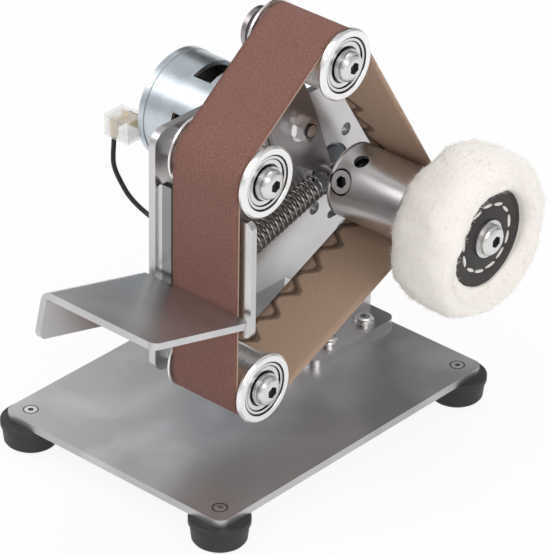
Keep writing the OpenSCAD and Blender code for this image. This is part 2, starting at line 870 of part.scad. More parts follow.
module tension_axle_screw() placed() {
    color("silver") axle_screw(arm_x0 - axle_past, ten_y, ten_z);
}

module tension_spacers() placed() {
    color("silver") axle_tubes(arm_x1 + axle_nut_h, ten_y, ten_z);
}

module tension_nut() placed() {
    color("silver") nut_x(arm_x1, ten_y, ten_z, axle_nut_r, axle_nut_h, axle_r);
}

module tension_inner_races() placed() {
    color("silver") inner_race_pair(ten_y, ten_z);
}

module spring_pin(x0, y, z) {
    end = spring_x + pin_past;
    color("silver") {
        rod_x(x0, end - pin_head_t / 2, y, z, pin_r);
        rod_x(end - pin_head_t, end, y, z, pin_head_r);
    }
}

module hook_pin() placed() {
    spring_pin(arm_x0, hook_y, hook_z);
}

module anchor_pin() placed() {
    spring_pin(plate_x0, anchor_y, anchor_z);
}

module pivot_screw() placed() {
    end = arm_x1 + washer_t + m5_nut_h + m5_past;
    color("silver") translate([plate_x0, arm_y, arm_z]) rotate([0, -quarter, 0])
        button_screw(end - plate_x0, m5_r, m5_head_r, m5_head_h, m5_hex_r);
}

module pivot_washers() placed() {
    color("silver") {
        tube_x(plate_x, arm_x0, arm_y, arm_z, washer_r, m5_r + fit);
        tube_x(arm_x1, arm_x1 + washer_t, arm_y, arm_z, washer_r, m5_r + fit);
    }
}

module lock_nuts() placed() {
    color("silver") {
        nut_x(arm_x1 + washer_t, arm_y, arm_z, m5_nut_r, m5_nut_h, m5_r);
        nut_x(plate_x, pivot_yz[0], pivot_yz[1], m5_nut_r, m5_nut_h, m5_r);
    }
}

// Tension spring: one wire from the loop on the anchor pin to the loop on the arm's pin

spring_d = [hook_y - anchor_y, hook_z - anchor_z];
spring_len = norm(spring_d);
coil_turns = floor((spring_len - 2 * coil_start) / coil_pitch);
coil_end = coil_start + coil_turns * coil_pitch;
ring_steps = 8;
wire_sides = 6;
loop_steps = 9;
loop_open = 60;
// a point of the spring: along its axis, along X, and upright to both
function spring_point(s, a, b) = [
    spring_x + a,
    anchor_y + (s * spring_d[0] - b * spring_d[1]) / spring_len,
    anchor_z + (s * spring_d[1] + b * spring_d[0]) / spring_len];
loop_sweep = full_turn - 2 * loop_open;
spring_pts = concat(
    [for (i = [0:loop_steps]) let (f = loop_open + loop_sweep * i / loop_steps)
        spring_point(loop_r * cos(f), 0, loop_r * sin(f))],
    [for (i = [0:coil_turns * ring_steps]) let (f = full_turn * i / ring_steps - quarter)
        spring_point(coil_start + coil_pitch * i / ring_steps, coil_r * cos(f), coil_r * sin(f))],
    [for (i = [0:loop_steps]) let (f = half_turn + loop_open + loop_sweep * i / loop_steps)
        spring_point(spring_len + loop_r * cos(f), 0, loop_r * sin(f))]);

function unit(v) = v / norm(v);
function heading(pts, i) = unit(pts[min(i + 1, len(pts) - 1)] - pts[max(i - 1, 0)]);
function flatten_to(v, t) = unit(v - (v * t) * t);
function side_vectors(pts, first) = [
    for (i = 0, v = flatten_to(first, heading(pts, 0)); i < len(pts);
         i = i + 1, v = i < len(pts) ? flatten_to(v, heading(pts, i)) : v) v];

// a closed tube of flat faces along a run of points
module wire(pts, r, sides, first) {
    n = len(pts);
    u = side_vectors(pts, first);
    ring_pts = [for (i = [0:n - 1]) let (w = cross(heading(pts, i), u[i]))
        for (k = [0:sides - 1]) let (f = full_turn * k / sides)
            pts[i] + r * (cos(f) * u[i] + sin(f) * w)];
    walls = [for (i = [0:n - 2], k = [0:sides - 1]) let (
            a = i * sides + k, b = i * sides + (k + 1) % sides, c = b + sides, d = a + sides)
        each [[a, c, b], [a, d, c]]];
    caps = [for (k = [1:sides - 2]) each [[0, k, k + 1],
        [(n - 1) * sides, (n - 1) * sides + k + 1, (n - 1) * sides + k]]];
    polyhedron(points = ring_pts, faces = concat(walls, caps));
}

spring_gap = min([for (i = [0:len(spring_pts) - 1], j = [i + 4:1:len(spring_pts) - 1])
    norm(spring_pts[i] - spring_pts[j])]) - 2 * wire_r;
echo(spring_least_gap = spring_gap, spring_coils = coil_turns);

module tension_spring() placed() {
    color("dimgray") wire(spring_pts, wire_r, wire_sides, [1, 0, 0]);
}

// Belt: one closed band round the four rollers

wheels = [[low_y, low_z, tube_r], [drive_y, drive_z, drum_r], [ten_y, ten_z, tube_r], [up_y, up_z, tube_r]];

// the straight runs lie a hair inside the round parts, so that the two cross
run_in = 0.01;

module belt_outline(more) {
    n = len(wheels);
    polygon([for (i = [0:n - 1]) let (
            p = wheels[i], q = wheels[(i + 1) % n],
            d = [q[0] - p[0], q[1] - p[1]],
            turn = atan2(d[1], d[0]) - acos((p[2] - q[2]) / norm(d)),
            e = [cos(turn), sin(turn)])
        each [[p[0], p[1]] + (p[2] + more - run_in) * e, [q[0], q[1]] + (q[2] + more - run_in) * e]]);
    for (p = wheels) translate([p[0], p[1]]) circle(r = p[2] + more);
}

module sanding_belt() placed() {
    color("sienna") yz(belt_x0, belt_x1) difference() {
        belt_outline(belt_gap + belt_t);
        belt_outline(belt_gap);
    }
}

// Work table: a tilted sheet with a flange that runs back to an ear on the side plate

pivot_local = [ear_y, -table_drop + ear_r];
pivot_yz = [
    table_y + pivot_local[0] * cos(table_tilt) + pivot_local[1] * sin(table_tilt),
    table_z - pivot_local[0] * sin(table_tilt) + pivot_local[1] * cos(table_tilt)];
table_x0 = plate_x0 - table_t;
table_x1 = table_x0 + table_w;

module at_table() {
    translate([0, table_y, table_z]) rotate([-table_tilt, 0, 0]) children();
}

module work_table() placed() {
    color("silver") at_table() difference() {
        union() {
            translate([0, 0, -table_t]) linear_extrude(height = table_t) {
                translate([table_x0 + table_bend, -table_len])
                    square([table_w - table_bend - platen_r, table_len]);
                translate([table_x1 - platen_r - tiny, -table_len + platen_r])
                    square([platen_r + tiny, table_len - 2 * platen_r]);
                for (y = [-table_len + platen_r, -platen_r])
                    translate([table_x1 - platen_r, y]) circle(r = platen_r, $fn = small_fn);
            }
            translate([table_x0 + table_bend, 0, -table_bend]) rotate([quarter, 0, 0])
                difference() {
                    cylinder(h = table_len, r = table_bend);
                    translate([0, 0, -tiny]) cylinder(h = table_len + 2 * tiny, r = table_bend - table_t);
                    translate([-table_bend, -2 * table_bend, -tiny])
                        cube([2 * table_bend, 2 * table_bend, table_len + 2 * tiny]);
                    translate([0, -table_bend, -tiny])
                        cube([table_bend + tiny, 2 * table_bend + tiny, table_len + 2 * tiny]);
                }
            yz(table_x0, table_x0 + table_t) {
                translate([-table_len + platen_r, -table_drop])
                    square([table_len - platen_r + ear_y, 2 * ear_r]);
                translate([-table_len, -table_drop + platen_r])
                    square([table_len, table_drop - platen_r - table_bend]);
                translate([-table_len + platen_r, -table_drop + platen_r]) circle(r = platen_r, $fn = small_fn);
                translate(pivot_local) circle(r = ear_r);
            }
        }
        along_x(table_x0 - tiny, pivot_local[0], pivot_local[1])
            cylinder(h = table_t + 2 * tiny, r = m5_r + fit);
    }
}

module table_screw() placed() {
    end = plate_x + m5_nut_h + m5_past;
    color("silver") translate([table_x0, pivot_yz[0], pivot_yz[1]]) rotate([0, -quarter, 0])
        button_screw(end - table_x0, m5_r, m5_head_r, m5_head_h, m5_hex_r);
}

// Motor

module sector(r, a) {
    polygon([[0, 0], [r, -r * tan(a / 2)], [r, r * tan(a / 2)]]);
}

module motor_can() placed() {
    inner = can_r - can_t;
    color("lightsteelblue") difference() {
        union() {
            rod_x(can_x0, can_x1, drive_y, drive_z, can_r);
            rod_x(can_x0, can_x0 + band_h, drive_y, drive_z, can_r + band_t);
            rod_x(can_x1 - tiny, plate_x, drive_y, drive_z, boss_r);
        }
        rod_x(can_x0 - tiny, can_x1 - can_t, drive_y, drive_z, inner);
        rod_x(can_x1 - can_t - tiny, plate_x - bearing_lip, drive_y, drive_z, bearing_out_r);
        rod_x(plate_x - bearing_lip - tiny, plate_x + tiny, drive_y, drive_z, shaft_r + tiny);
        for (p = screw_at) rod_x(can_x1 - can_t - tiny, can_x1 + tiny, p[0], p[1], m4_r);
        for (a = vent_turns) translate([can_x0 + vent_a, drive_y, drive_z]) rotate([a, 0, 0])
            rotate([0, quarter, 0]) linear_extrude(height = vent_len)
                rotate(half_turn) sector(can_r + 2 * band_t, vent_angle);
    }
}

module motor_end_cap() placed() {
    inner = can_r - can_t - cap_fit;
    color("dimgray") difference() {
        union() {
            rod_x(can_x0 + band_t, can_x0 + band_t + cap_t, drive_y, drive_z, inner);
            rod_x(can_x0 + band_t - cap_boss_len, can_x0 + band_t + tiny, drive_y, drive_z, cap_boss_r);
            for (s = [-1, 1]) {
                near = drive_z + s * (comm_r + brush_gap + holder_t);
                far = drive_z + s * (comm_r + brush_gap + brush_len);
                box_at(can_x0 + band_t + cap_t - tiny, comm_mid - brush_w / 2,
                    drive_y - brush_h / 2, drive_y + brush_h / 2, min(near, far), max(near, far));
            }
        }
        rod_x(can_x0 + band_t - cap_boss_len + bearing_lip, can_x0 + band_t + cap_t + tiny,
            drive_y, drive_z, bearing_out_r);
        rod_x(can_x0 - cap_boss_len - tiny, can_x0 + tiny, drive_y, drive_z, shaft_r + tiny);
        for (p = term_at) box_at(can_x0 - tiny, can_x0 + band_t + cap_t + tiny,
            p[0] - term_t / 2, p[0] + term_t / 2, p[1] - term_w / 2, p[1] + term_w / 2);
    }
}

term_at = [for (a = [0, half_turn]) around(drive_y, drive_z, term_circle, term_angle + a)];

module motor_magnets() placed() {
    outer = can_r - can_t;
    x1 = can_x1 - magnet_start;
    color("dimgray") for (a = [0, half_turn]) translate([x1 - magnet_len, drive_y, drive_z])
        rotate([a + quarter, 0, 0]) rotate([0, quarter, 0]) linear_extrude(height = magnet_len)
            intersection() {
                difference() {
                    circle(r = outer);
                    circle(r = outer - magnet_t);
                }
                polygon([[0, 0],
                    [2 * outer * cos(magnet_angle / 2), -2 * outer * sin(magnet_angle / 2)],
                    [4 * outer, -2 * outer], [4 * outer, 2 * outer],
                    [2 * outer * cos(magnet_angle / 2), 2 * outer * sin(magnet_angle / 2)]]);
            }
}

comm_x1 = can_x1 - core_start - core_len - head_len - comm_gap;
comm_x0 = comm_x1 - comm_len;
comm_mid = (comm_x0 + comm_x1) / 2;

module motor_brushes() placed() {
    color("dimgray") for (s = [-1, 1]) {
        lo = comm_r + brush_gap;
        translate([comm_mid - brush_w / 2, drive_y - brush_h / 2, drive_z + (s > 0 ? lo : -lo - brush_len)])
            cube([brush_w, brush_h, brush_len]);
    }
}

module motor_terminals() placed() {
    color("gold") for (i = [0, 1]) {
        p = term_at[i];
        box_at(can_x0 - term_len, can_x0 + band_t + cap_t, p[0] - term_t / 2, p[0] + term_t / 2,
            p[1] - term_w / 2, p[1] + term_w / 2);
    }
}

module motor_bearings() placed() {
    color("silver") for (x = [plate_x - bearing_lip - bearing_w, can_x0 + band_t - cap_boss_len + bearing_lip])
        tube_x(x, x + bearing_w, drive_y, drive_z, bearing_out_r, bearing_in_r);
}

module motor_screws() placed() {
    color("silver") for (p = screw_at) along_x(plate_x, p[0], p[1])
        sunk_screw(plate_t + can_t, m4_r, m4_head_r, m4_hex_r);
}

module motor_shaft() placed() {
    color("silver") rod_x(can_x0 + band_t - cap_boss_len + bearing_lip, drum_x0 + drum_bore_len,
        drive_y, drive_z, shaft_r);
}

module armature_core() placed() {
    x1 = can_x1 - core_start;
    color("dimgray") translate([x1 - core_len, drive_y, drive_z]) rotate([0, quarter, 0])
        linear_extrude(height = core_len) difference() {
            circle(r = core_r);
            circle(r = shaft_r);
            for (i = [0:slot_count - 1]) rotate(full_turn * i / slot_count)
                translate([core_r - slot_deep, -slot_half]) square([slot_deep + tiny, 2 * slot_half]);
        }
}

module armature_windings() placed() {
    x1 = can_x1 - core_start;
    color("peru") {
        for (x = [x1, x1 - core_len - head_len]) along_x(x, drive_y, drive_z)
            rotate_extrude() polygon([
                [core_hub, 0], [winding_r, 0], [winding_r, head_len * sink_share],
                [winding_r * (1 - sink_share * sink_share), head_len], [core_hub, head_len]]);
        for (i = [0:slot_count - 1]) translate([x1 - core_len, drive_y, drive_z])
            rotate([full_turn * i / slot_count, 0, 0])
                translate([0, -slot_half, -winding_r])
                    cube([core_len, 2 * slot_half, slot_deep - core_r + winding_r]);
    }
}

module commutator() placed() {
    color("peru") tube_x(comm_x0, comm_x1, drive_y, drive_z, comm_r, shaft_r);
}

// Drive drum and its screws

module drum_radial(a, x, r0) {
    translate([drum_x0 + x, drive_y, drive_z]) rotate([a - quarter, 0, 0]) translate([0, 0, r0]) children();
}

module drive_drum() placed() {
    color("silver") difference() {
        along_x(drum_x0, drive_y, drive_z) rotate_extrude() polygon([
            [shaft_r, 0], [drum_r - groove_d, 0], [drum_r, groove_d],
            [drum_r, groove_w], [drum_r - groove_d, groove_w],
            [drum_r - groove_d, 2 * groove_w], [drum_r, 2 * groove_w],
            [drum_r, drum_len - 3 * groove_w], [drum_r - groove_d, drum_len - 3 * groove_w],
            [drum_r - groove_d, drum_len - 2 * groove_w], [drum_r, drum_len - 2 * groove_w],
            [drum_r, drum_len - groove_d], [drum_r - groove_d, drum_len],
            [nose_r, drum_len], [nose_r, buff_x0 - leather_t - drum_x0],
            [wheel_screw_r, buff_x0 - leather_t - drum_x0],
            [wheel_screw_r, drum_bore_len + tiny], [shaft_r, drum_bore_len]]);
        drum_radial(lock_angle, lock_x, drum_r - lock_depth) cylinder(h = drum_r, r = lock_r, $fn = small_fn);
        drum_radial(lock_angle, lock_x, 0) cylinder(h = drum_r, r = lock_shank_r, $fn = small_fn);
        drum_radial(grub_angle, grub_x, 0) cylinder(h = drum_r, r = grub_thread_r, $fn = small_fn);
        drum_radial(grub_angle, grub_x, drum_r - grub_depth) cylinder(h = drum_r, r = grub_r, $fn = small_fn);
    }
}

module drum_screws() placed() {
    color("silver") {
        difference() {
            union() {
                drum_radial(lock_angle, lock_x, drum_r - lock_depth)
                    cylinder(h = lock_head_h, r = lock_head_r, $fn = small_fn);
                drum_radial(lock_angle, lock_x, shaft_r)
                    cylinder(h = drum_r - lock_depth - shaft_r + tiny, r = lock_shank_r, $fn = small_fn);
            }
            drum_radial(lock_angle, lock_x, drum_r - lock_depth + lock_head_h - grub_hex_depth)
                cylinder(h = drum_r, r = axle_hex_r, $fn = hexa);
        }
        difference() {
            drum_radial(grub_angle, grub_x, shaft_r)
                cylinder(h = drum_r - grub_depth - shaft_r, r = grub_thread_r, $fn = small_fn);
            drum_radial(grub_angle, grub_x, drum_r - grub_depth - grub_hex_depth)
                cylinder(h = drum_r, r = grub_hex_r, $fn = hexa);
        }
    }
}

// Polishing wheel with leather discs, washer and screw

buff_x1 = buff_x0 + buff_t;
face_x = buff_x1 + leather_t;

module buff_wheel() placed() {
    steps = 6;
    color("ivory") along_x(buff_x0, drive_y, drive_z) rotate_extrude() polygon(concat(
        [[wheel_bore, 0], [leather_r, 0], [leather_r + leather_t, -buff_rear_bulge]],
        [for (i = [0:steps]) let (f = quarter * i / steps)
            [buff_r - buff_round + buff_round * sin(f),
             buff_round - buff_rear_bulge - buff_round * cos(f)]],
        [for (i = [0:steps]) let (f = quarter * i / steps)
            [buff_r - buff_round + buff_round * cos(f),
             buff_t + buff_bulge - buff_round + buff_round * sin(f)]],
        [[leather_r + leather_t, buff_t + buff_bulge], [leather_r, buff_t], [wheel_bore, buff_t]]));
}

module leather_facings() placed() {
    color("black") for (x = [buff_x0 - leather_t, buff_x1])
        tube_x(x, x + leather_t, drive_y, drive_z, leather_r, wheel_bore);
}

module buff_washer() placed() {
    color("silver") tube_x(face_x, face_x + buff_washer_t, drive_y, drive_z, buff_washer_r, wheel_bore);
}

module buff_screw() placed() {
    from = face_x + buff_washer_t;
    color("silver") translate([from, drive_y, drive_z]) rotate([0, quarter, 0])
        button_screw(from - drum_x1 + buff_grip, wheel_screw_r, buff_head_r, axle_head_h, axle_hex_r);
}

// Connectors, leads and the power inlet behind the side plate

// for each terminal: which way the connector reaches, and its terminal
plugs = [[-1, term_at[0]], [1, term_at[1]]];
sleeve_low = 3.2;
crimp_r = 1.6;
crimp_len = 7;
crimp_out = 6.6;
crimp_x = 8.6;

module plug_box(s, p, wall) {
    x1 = can_x0 - sleeve_in;
    y_near = p[1][0] - s * (term_t + sleeve_t);
    y_far = y_near + s * sleeve_y;
    z1 = p[1][1] + term_w / 2 + sleeve_t;
    box_at(x1 - sleeve_x + wall, x1 - wall, min(y_near, y_far) + wall, max(y_near, y_far) - wall,
        z1 - sleeve_z + wall, z1 - wall);
}

module connector_sleeves() placed() {
    color("white") for (p = plugs) difference() {
        plug_box(p[0], p, 0);
        plug_box(p[0], p, sleeve_t);
        box_at(can_x0 - sleeve_in - sleeve_t - tiny, can_x0, p[1][0] - term_t, p[1][0] + term_t,
            p[1][1] - term_w / 2 - fit, p[1][1] + term_w / 2 + fit);
        translate([can_x0 - sleeve_in - crimp_x, p[1][0] + p[0] * crimp_out, p[1][1] - sleeve_z])
            cylinder(h = sleeve_z + term_w / 2, r = crimp_r + fit, $fn = small_fn);
    }
}

module spade_terminals() placed() {
    color("gold") for (p = plugs) {
        x = can_x0 - sleeve_in - crimp_x;
        y = p[1][0] + p[0] * crimp_out;
        z = p[1][1] - term_w / 2 + fit;
        y_in = p[1][0] + p[0] * term_t / 2;
        difference() {
            translate([x, y, z - sleeve_low]) cylinder(h = crimp_len, r = crimp_r, $fn = small_fn);
            translate([x, y, z - sleeve_low - tiny]) cylinder(h = crimp_len / 2, r = lead_r + fit, $fn = small_fn);
        }
        box_at(x - crimp_r, can_x0 - sleeve_in - 2 * sleeve_t, min(y_in, y_in + p[0] * term_t),
            max(y_in, y_in + p[0] * term_t), z, z + term_w - 2 * fit);
        box_at(x - crimp_r / 2, x + crimp_r / 2, min(y_in, y), max(y_in, y), z, z + sleeve_low);
    }
}

// run of each lead, from its crimp to the inlet's lug
lead_a = [
    [-86.7, 22.33, 75.6], [-86.7, 22.33, 74.2], [-86.7, 22, 71.5], [-84.8, 19.9, 64.4], [-81.9, 20.2, 58.4],
    [-76.9, 21, 52.2], [-68.5, 22.1, 47.6], [-56, 21.5, 46], [-42, 18.5, 47.5], [-30, 13.5, 52],
    [-22.5, 10, 58.5], [-19.2, 6.2, 62.2], [-18.7, 3.6, 62.45]];
lead_b = [
    [-86.7, 68.87, 82.3], [-86.7, 68.87, 80.9], [-86.75, 69.2, 77], [-86, 69.4, 70], [-83, 66, 61],
    [-76, 58, 54], [-64, 46, 51], [-50, 35, 51.5], [-36, 24, 54.5], [-24, 14.5, 59.5], [-16, 9.6, 62.4],
    [-13.6, 6.4, 62.5], [-13.3, 3.6, 62.45]];

// smooth run through hand-set points
function curve_point(a, b, c, d, t) =
    (2 * b + (c - a) * t + (2 * a - 5 * b + 4 * c - d) * t * t + (3 * b - a - 3 * c + d) * t * t * t) / 2;
function curve(q, steps) = let (n = len(q)) concat(
    [for (i = [0:n - 2], j = [0:steps - 1])
        curve_point(q[max(i - 1, 0)], q[i], q[i + 1], q[min(i + 2, n - 1)], j / steps)],
    [q[n - 1]]);
lead_steps = 3;
lead_sides = 8;

module lead_wires() placed() {
    color("black") for (q = [lead_a, lead_b]) wire(curve(q, lead_steps), lead_r, lead_sides, [0, 1, 0]);
}

inlet_x = plate_x0 - brk_t - brk_w / 2;
inlet_z = brk_z + brk_h / 2;

module inlet_bracket() placed() {
    x0 = plate_x0 - brk_t - brk_w;
    color("silver") difference() {
        union() {
            box_at(x0, plate_x0, brk_y, brk_y + brk_t, brk_z, brk_z + brk_h);
            box_at(plate_x0 - brk_t, plate_x0, brk_y, brk_y + brk_t + brk_leg, brk_z, brk_z + brk_h);
        }
        translate([inlet_x, brk_y - tiny, inlet_z]) rotate([-quarter, 0, 0])
            cylinder(h = brk_t + 2 * tiny, r = inlet_r);
        for (z = brk_zs) rod_x(plate_x0 - brk_t - tiny, plate_x0 + tiny, brk_screw_y, z, m3_r + slip);
    }
}

module power_inlet() placed() {
    color("black") translate([inlet_x, brk_y, inlet_z]) rotate([-quarter, 0, 0]) difference() {
        union() {
            translate([0, 0, -inlet_flange_t]) cylinder(h = inlet_flange_t, r = inlet_flange_r);
            cylinder(h = inlet_len, r = inlet_r);
            for (s = [-1, 1]) translate([s * inlet_r / 2 - lead_r, -lead_r / 2, inlet_len - tiny])
                cube([2 * lead_r, lead_r, 2 * lead_r + inlet_flange_t]);
        }
        translate([0, 0, -inlet_flange_t]) difference() {
            translate([0, 0, -tiny]) cylinder(h = inlet_depth + tiny, r = inlet_bore, $fn = small_fn);
            cylinder(h = 2 * inlet_depth, r = inlet_pin_r, $fn = small_fn);
        }
    }
}

module inlet_ring_nut() placed() {
    color("silver") translate([inlet_x, brk_y + brk_t, inlet_z]) rotate([-quarter, 0, 0])
        nut_z(inlet_flange_r + tiny, m3_nut_h, inlet_r);
}

module inlet_screws() placed() {
    color("silver") for (z = brk_zs) translate([plate_x, brk_screw_y, z]) rotate([0, quarter, 0])
        button_screw(plate_t + brk_t + m3_nut_h + tiny, m3_r, m3_head_r, m3_head_h, m3_hex_r);
}

module inlet_nuts() placed() {
    color("silver") for (z = brk_zs)
        nut_x(plate_x0 - brk_t - m3_nut_h, brk_screw_y, z, m3_nut_r, m3_nut_h, m3_r);
}

base_plate();
rubber_feet();
foot_screws();
foot_nuts();
side_plate();
flange_screws();
platen();
platen_screws();
axle_screws();
axle_spacers();
axle_nuts();
inner_races();
pivot_screw();
pivot_washers();
lock_nuts();
anchor_pin();
table_screw();
motor_can();
motor_end_cap();
motor_magnets();
motor_brushes();
motor_terminals();
motor_bearings();
motor_screws();
spade_terminals();
connector_sleeves();
lead_wires();
inlet_bracket();
inlet_screws();
inlet_nuts();
power_inlet();
inlet_ring_nut();
sanding_belt();
tension_spring();
motor_shaft();
armature_core();
armature_windings();
commutator();
drive_drum();
drum_screws();
buff_wheel();
leather_facings();
buff_washer();
buff_screw();
roller_lower();
outer_races_lower();
balls_lower();
roller_upper();
outer_races_upper();
balls_upper();
roller_tension();
outer_races_tension();
balls_tension();
tension_arm();
tension_axle_screw();
tension_spacers();
tension_nut();
tension_inner_races();
hook_pin();
work_table();
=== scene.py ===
import math
import random

import bmesh
import bpy
from mathutils import Matrix, Vector, noise


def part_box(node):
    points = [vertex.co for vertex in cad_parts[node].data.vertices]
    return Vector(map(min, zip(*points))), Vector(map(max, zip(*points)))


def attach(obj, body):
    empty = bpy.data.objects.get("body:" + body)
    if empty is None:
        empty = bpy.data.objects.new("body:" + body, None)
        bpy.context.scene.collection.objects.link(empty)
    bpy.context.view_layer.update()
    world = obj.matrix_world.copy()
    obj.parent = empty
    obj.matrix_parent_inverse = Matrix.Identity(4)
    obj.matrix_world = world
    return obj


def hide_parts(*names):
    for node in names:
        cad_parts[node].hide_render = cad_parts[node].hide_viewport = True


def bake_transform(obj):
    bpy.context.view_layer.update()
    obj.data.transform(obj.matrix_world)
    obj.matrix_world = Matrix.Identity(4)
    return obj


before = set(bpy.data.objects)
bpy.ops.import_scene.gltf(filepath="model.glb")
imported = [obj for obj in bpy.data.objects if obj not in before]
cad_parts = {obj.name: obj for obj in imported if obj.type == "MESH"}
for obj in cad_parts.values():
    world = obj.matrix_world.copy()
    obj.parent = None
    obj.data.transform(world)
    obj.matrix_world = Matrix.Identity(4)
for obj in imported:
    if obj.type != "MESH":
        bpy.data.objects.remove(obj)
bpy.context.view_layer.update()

# ---- Studio: camera, pale floor and soft light ----
# The view is the photograph's: from above the polishing wheel's side, over the table and the belt.
# Soft boxes light a pale paper floor, and grey cards out of view give the bare metal something to reflect.
scene = bpy.context.scene
scene.view_settings.view_transform = "Standard"

plate_low, plate_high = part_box("base_plate")
stand_x, stand_y = (plate_low.x + plate_high.x) / 2, (plate_low.y + plate_high.y) / 2


def at(x, y, z):
    """A point in metres, from millimetres off the base plate's middle and up from the bench."""
    return Vector((stand_x + x / 1000, stand_y + y / 1000, z / 1000))


turn, rise, roll = math.radians(41.43), math.radians(30.495), math.radians(0.984)
aim, distance, aside, lowered = at(0, 0, 73), 1.38524, 0.009426, 0.01227
film_width, focal_length = 36, 258.2
back = Vector((math.sin(turn) * math.cos(rise), -math.cos(turn) * math.cos(rise), math.sin(rise)))
right = Vector((math.cos(turn), math.sin(turn), 0))
up = back.cross(right)
right, up = math.cos(roll) * right + math.sin(roll) * up, math.cos(roll) * up - math.sin(roll) * right
eye = aim + distance * back + aside * right - lowered * up
lens = bpy.data.cameras.new("camera")
lens.sensor_fit, lens.sensor_width, lens.lens = "HORIZONTAL", film_width, focal_length
lens.clip_start, lens.clip_end = 0.05, 30
camera = bpy.data.objects.new("camera", lens)
camera.matrix_world = Matrix.Translation(eye) @ Matrix((right, up, back)).transposed().to_4x4()
scene.collection.objects.link(camera)
scene.camera = camera


class Wire:
    """The output of a node in a finish: sums written on it add their Math nodes."""

    def __init__(self, finish, socket):
        self.finish, self.socket = finish, socket

    def maths(self, operation, *values):
        return self.finish.node("ShaderNodeMath", *values, operation=operation)

    def __add__(self, other):
        return self.maths("ADD", self, other)

    __radd__ = __add__

    def __sub__(self, other):
        return self.maths("SUBTRACT", self, other)

    def __rsub__(self, other):
        return self.maths("SUBTRACT", other, self)

    def __mul__(self, other):
        return self.maths("MULTIPLY", self, other)

    __rmul__ = __mul__

    def __abs__(self):
        return self.maths("ABSOLUTE", self)

    def __lt__(self, other):
        return self.maths("LESS_THAN", self, other)

    def __gt__(self, other):
        return self.maths("GREATER_THAN", self, other)

    def sine(self):
        return self.maths("SINE", self)

    def held(self):
        """The same value, held between 0 and 1."""
        return self.maths("MINIMUM", self.maths("MAXIMUM", self, 0.0), 1.0)


class Finish:
    """One surface finish, or the studio's paper, made of shader nodes."""

    def __init__(self, owner):
        self.owner = bpy.data.materials.new(owner) if isinstance(owner, str) else owner
        self.owner.use_nodes = True
        self.tree = self.owner.node_tree
        self.shader = self.tree.nodes.get("Principled BSDF")

    def node(self, kind, *values, sockets=None, out=0, **settings):
        """A new node: its settings first, then a value or a wire for each socket."""
        made = self.tree.nodes.new(kind)
        for name, value in settings.items():
            setattr(made, name, value)
        for place, value in [*enumerate(values), *(sockets or {}).items()]:
            if isinstance(value, Wire):
                self.tree.links.new(value.socket, made.inputs[place])
            else:
                made.inputs[place].default_value = value
        return Wire(self, made.outputs[out])

    def grain(self, place, scale, detail=3.0, rough=0.55, warp=0.0):
        """Noise from 0 to 1."""
        sockets = {"Vector": place, "Scale": scale, "Detail": detail, "Roughness": rough, "Distortion": warp}
        return self.node("ShaderNodeTexNoise", sockets=sockets)

    def place(self, stretch=(1, 1, 1), centre=(0, 0, 0)):
        """The place on the object, from a centre, stretched along each axis."""
        spot = self.node("ShaderNodeTexCoord", out="Object")
        moved = self.node("ShaderNodeVectorMath", spot, tuple(centre), operation="SUBTRACT")
        return self.node("ShaderNodeVectorMath", moved, tuple(stretch), operation="MULTIPLY")

    def along_x(self, spot):
        return self.node("ShaderNodeSeparateXYZ", spot, out=0)

    def off_axis(self, spot):
        """The distance from the line along X through the spot's centre."""
        flat = self.node("ShaderNodeVectorMath", spot, (0.0, 1.0, 1.0), operation="MULTIPLY")
        return self.node("ShaderNodeVectorMath", flat, operation="LENGTH", out="Value")

    def blend(self, share, first, second):
        """Two colours mixed by a share: the Mix node's colours are its sockets 6 and 7, and its result is 2."""
        colours = [c if isinstance(c, Wire) else (*c, 1) for c in (first, second)]
        sockets = {0: share, 6: colours[0], 7: colours[1]}
        return self.node("ShaderNodeMix", sockets=sockets, data_type="RGBA", out=2)

    def relief(self, height, depth):
        return self.node("ShaderNodeBump", sockets={"Height": height, "Distance": depth, "Strength": 1.0})

    def surface(self, **sockets):
        """Sets or wires the shader's sockets."""
        for name, value in sockets.items():
            socket = self.shader.inputs[name.replace("_", " ")]
            if isinstance(value, Wire):
                self.tree.links.new(value.socket, socket)
            else:
                socket.default_value = (*value, 1) if isinstance(value, tuple) else value
        return self

    def on(self, *names):
        """Gives the finish to parts that keep the shape they were loaded with."""
        for name in names:
            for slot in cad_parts[name].material_slots:
                slot.material = self.owner


def seen_directly(paper):
    """1 where the camera or clear plastic looks at the paper, and 0 for its light."""
    seen = [paper.node("ShaderNodeLightPath", out=f"Is {ray} Ray") for ray in ("Camera", "Transmission")]
    return paper.node("ShaderNodeMath", *seen, operation="MAXIMUM")


world = bpy.data.worlds.new("paper")
scene.world = world
sky = Finish(world)
sky_light = sky.blend(seen_directly(sky), (0.54, 0.54, 0.545), (1.0, 1.0, 1.0))
sky.tree.links.new(sky_light.socket, sky.tree.nodes["Background"].inputs["Color"])


def card(name, centre, facing, wide, tall, colour):
    """A flat card of the studio, which faces a point."""
    flat = bmesh.new()
    bmesh.ops.create_grid(flat, x_segments=1, y_segments=1, size=0.5)
    bmesh.ops.scale(flat, vec=(wide, tall, 1), verts=flat.verts)
    turned_to = (facing - centre).to_track_quat("Z", "Y").to_matrix().to_4x4()
    bmesh.ops.transform(flat, matrix=Matrix.Translation(centre) @ turned_to, verts=flat.verts)
    mesh = bpy.data.meshes.new(name)
    flat.to_mesh(mesh)
    flat.free()
    made = bpy.data.objects.new(name, mesh)
    scene.collection.objects.link(made)
    paint = Finish(name).surface(Base_Color=colour, Roughness=1.0, Specular_IOR_Level=0.0)
    mesh.materials.append(paint.owner)
    return made, paint


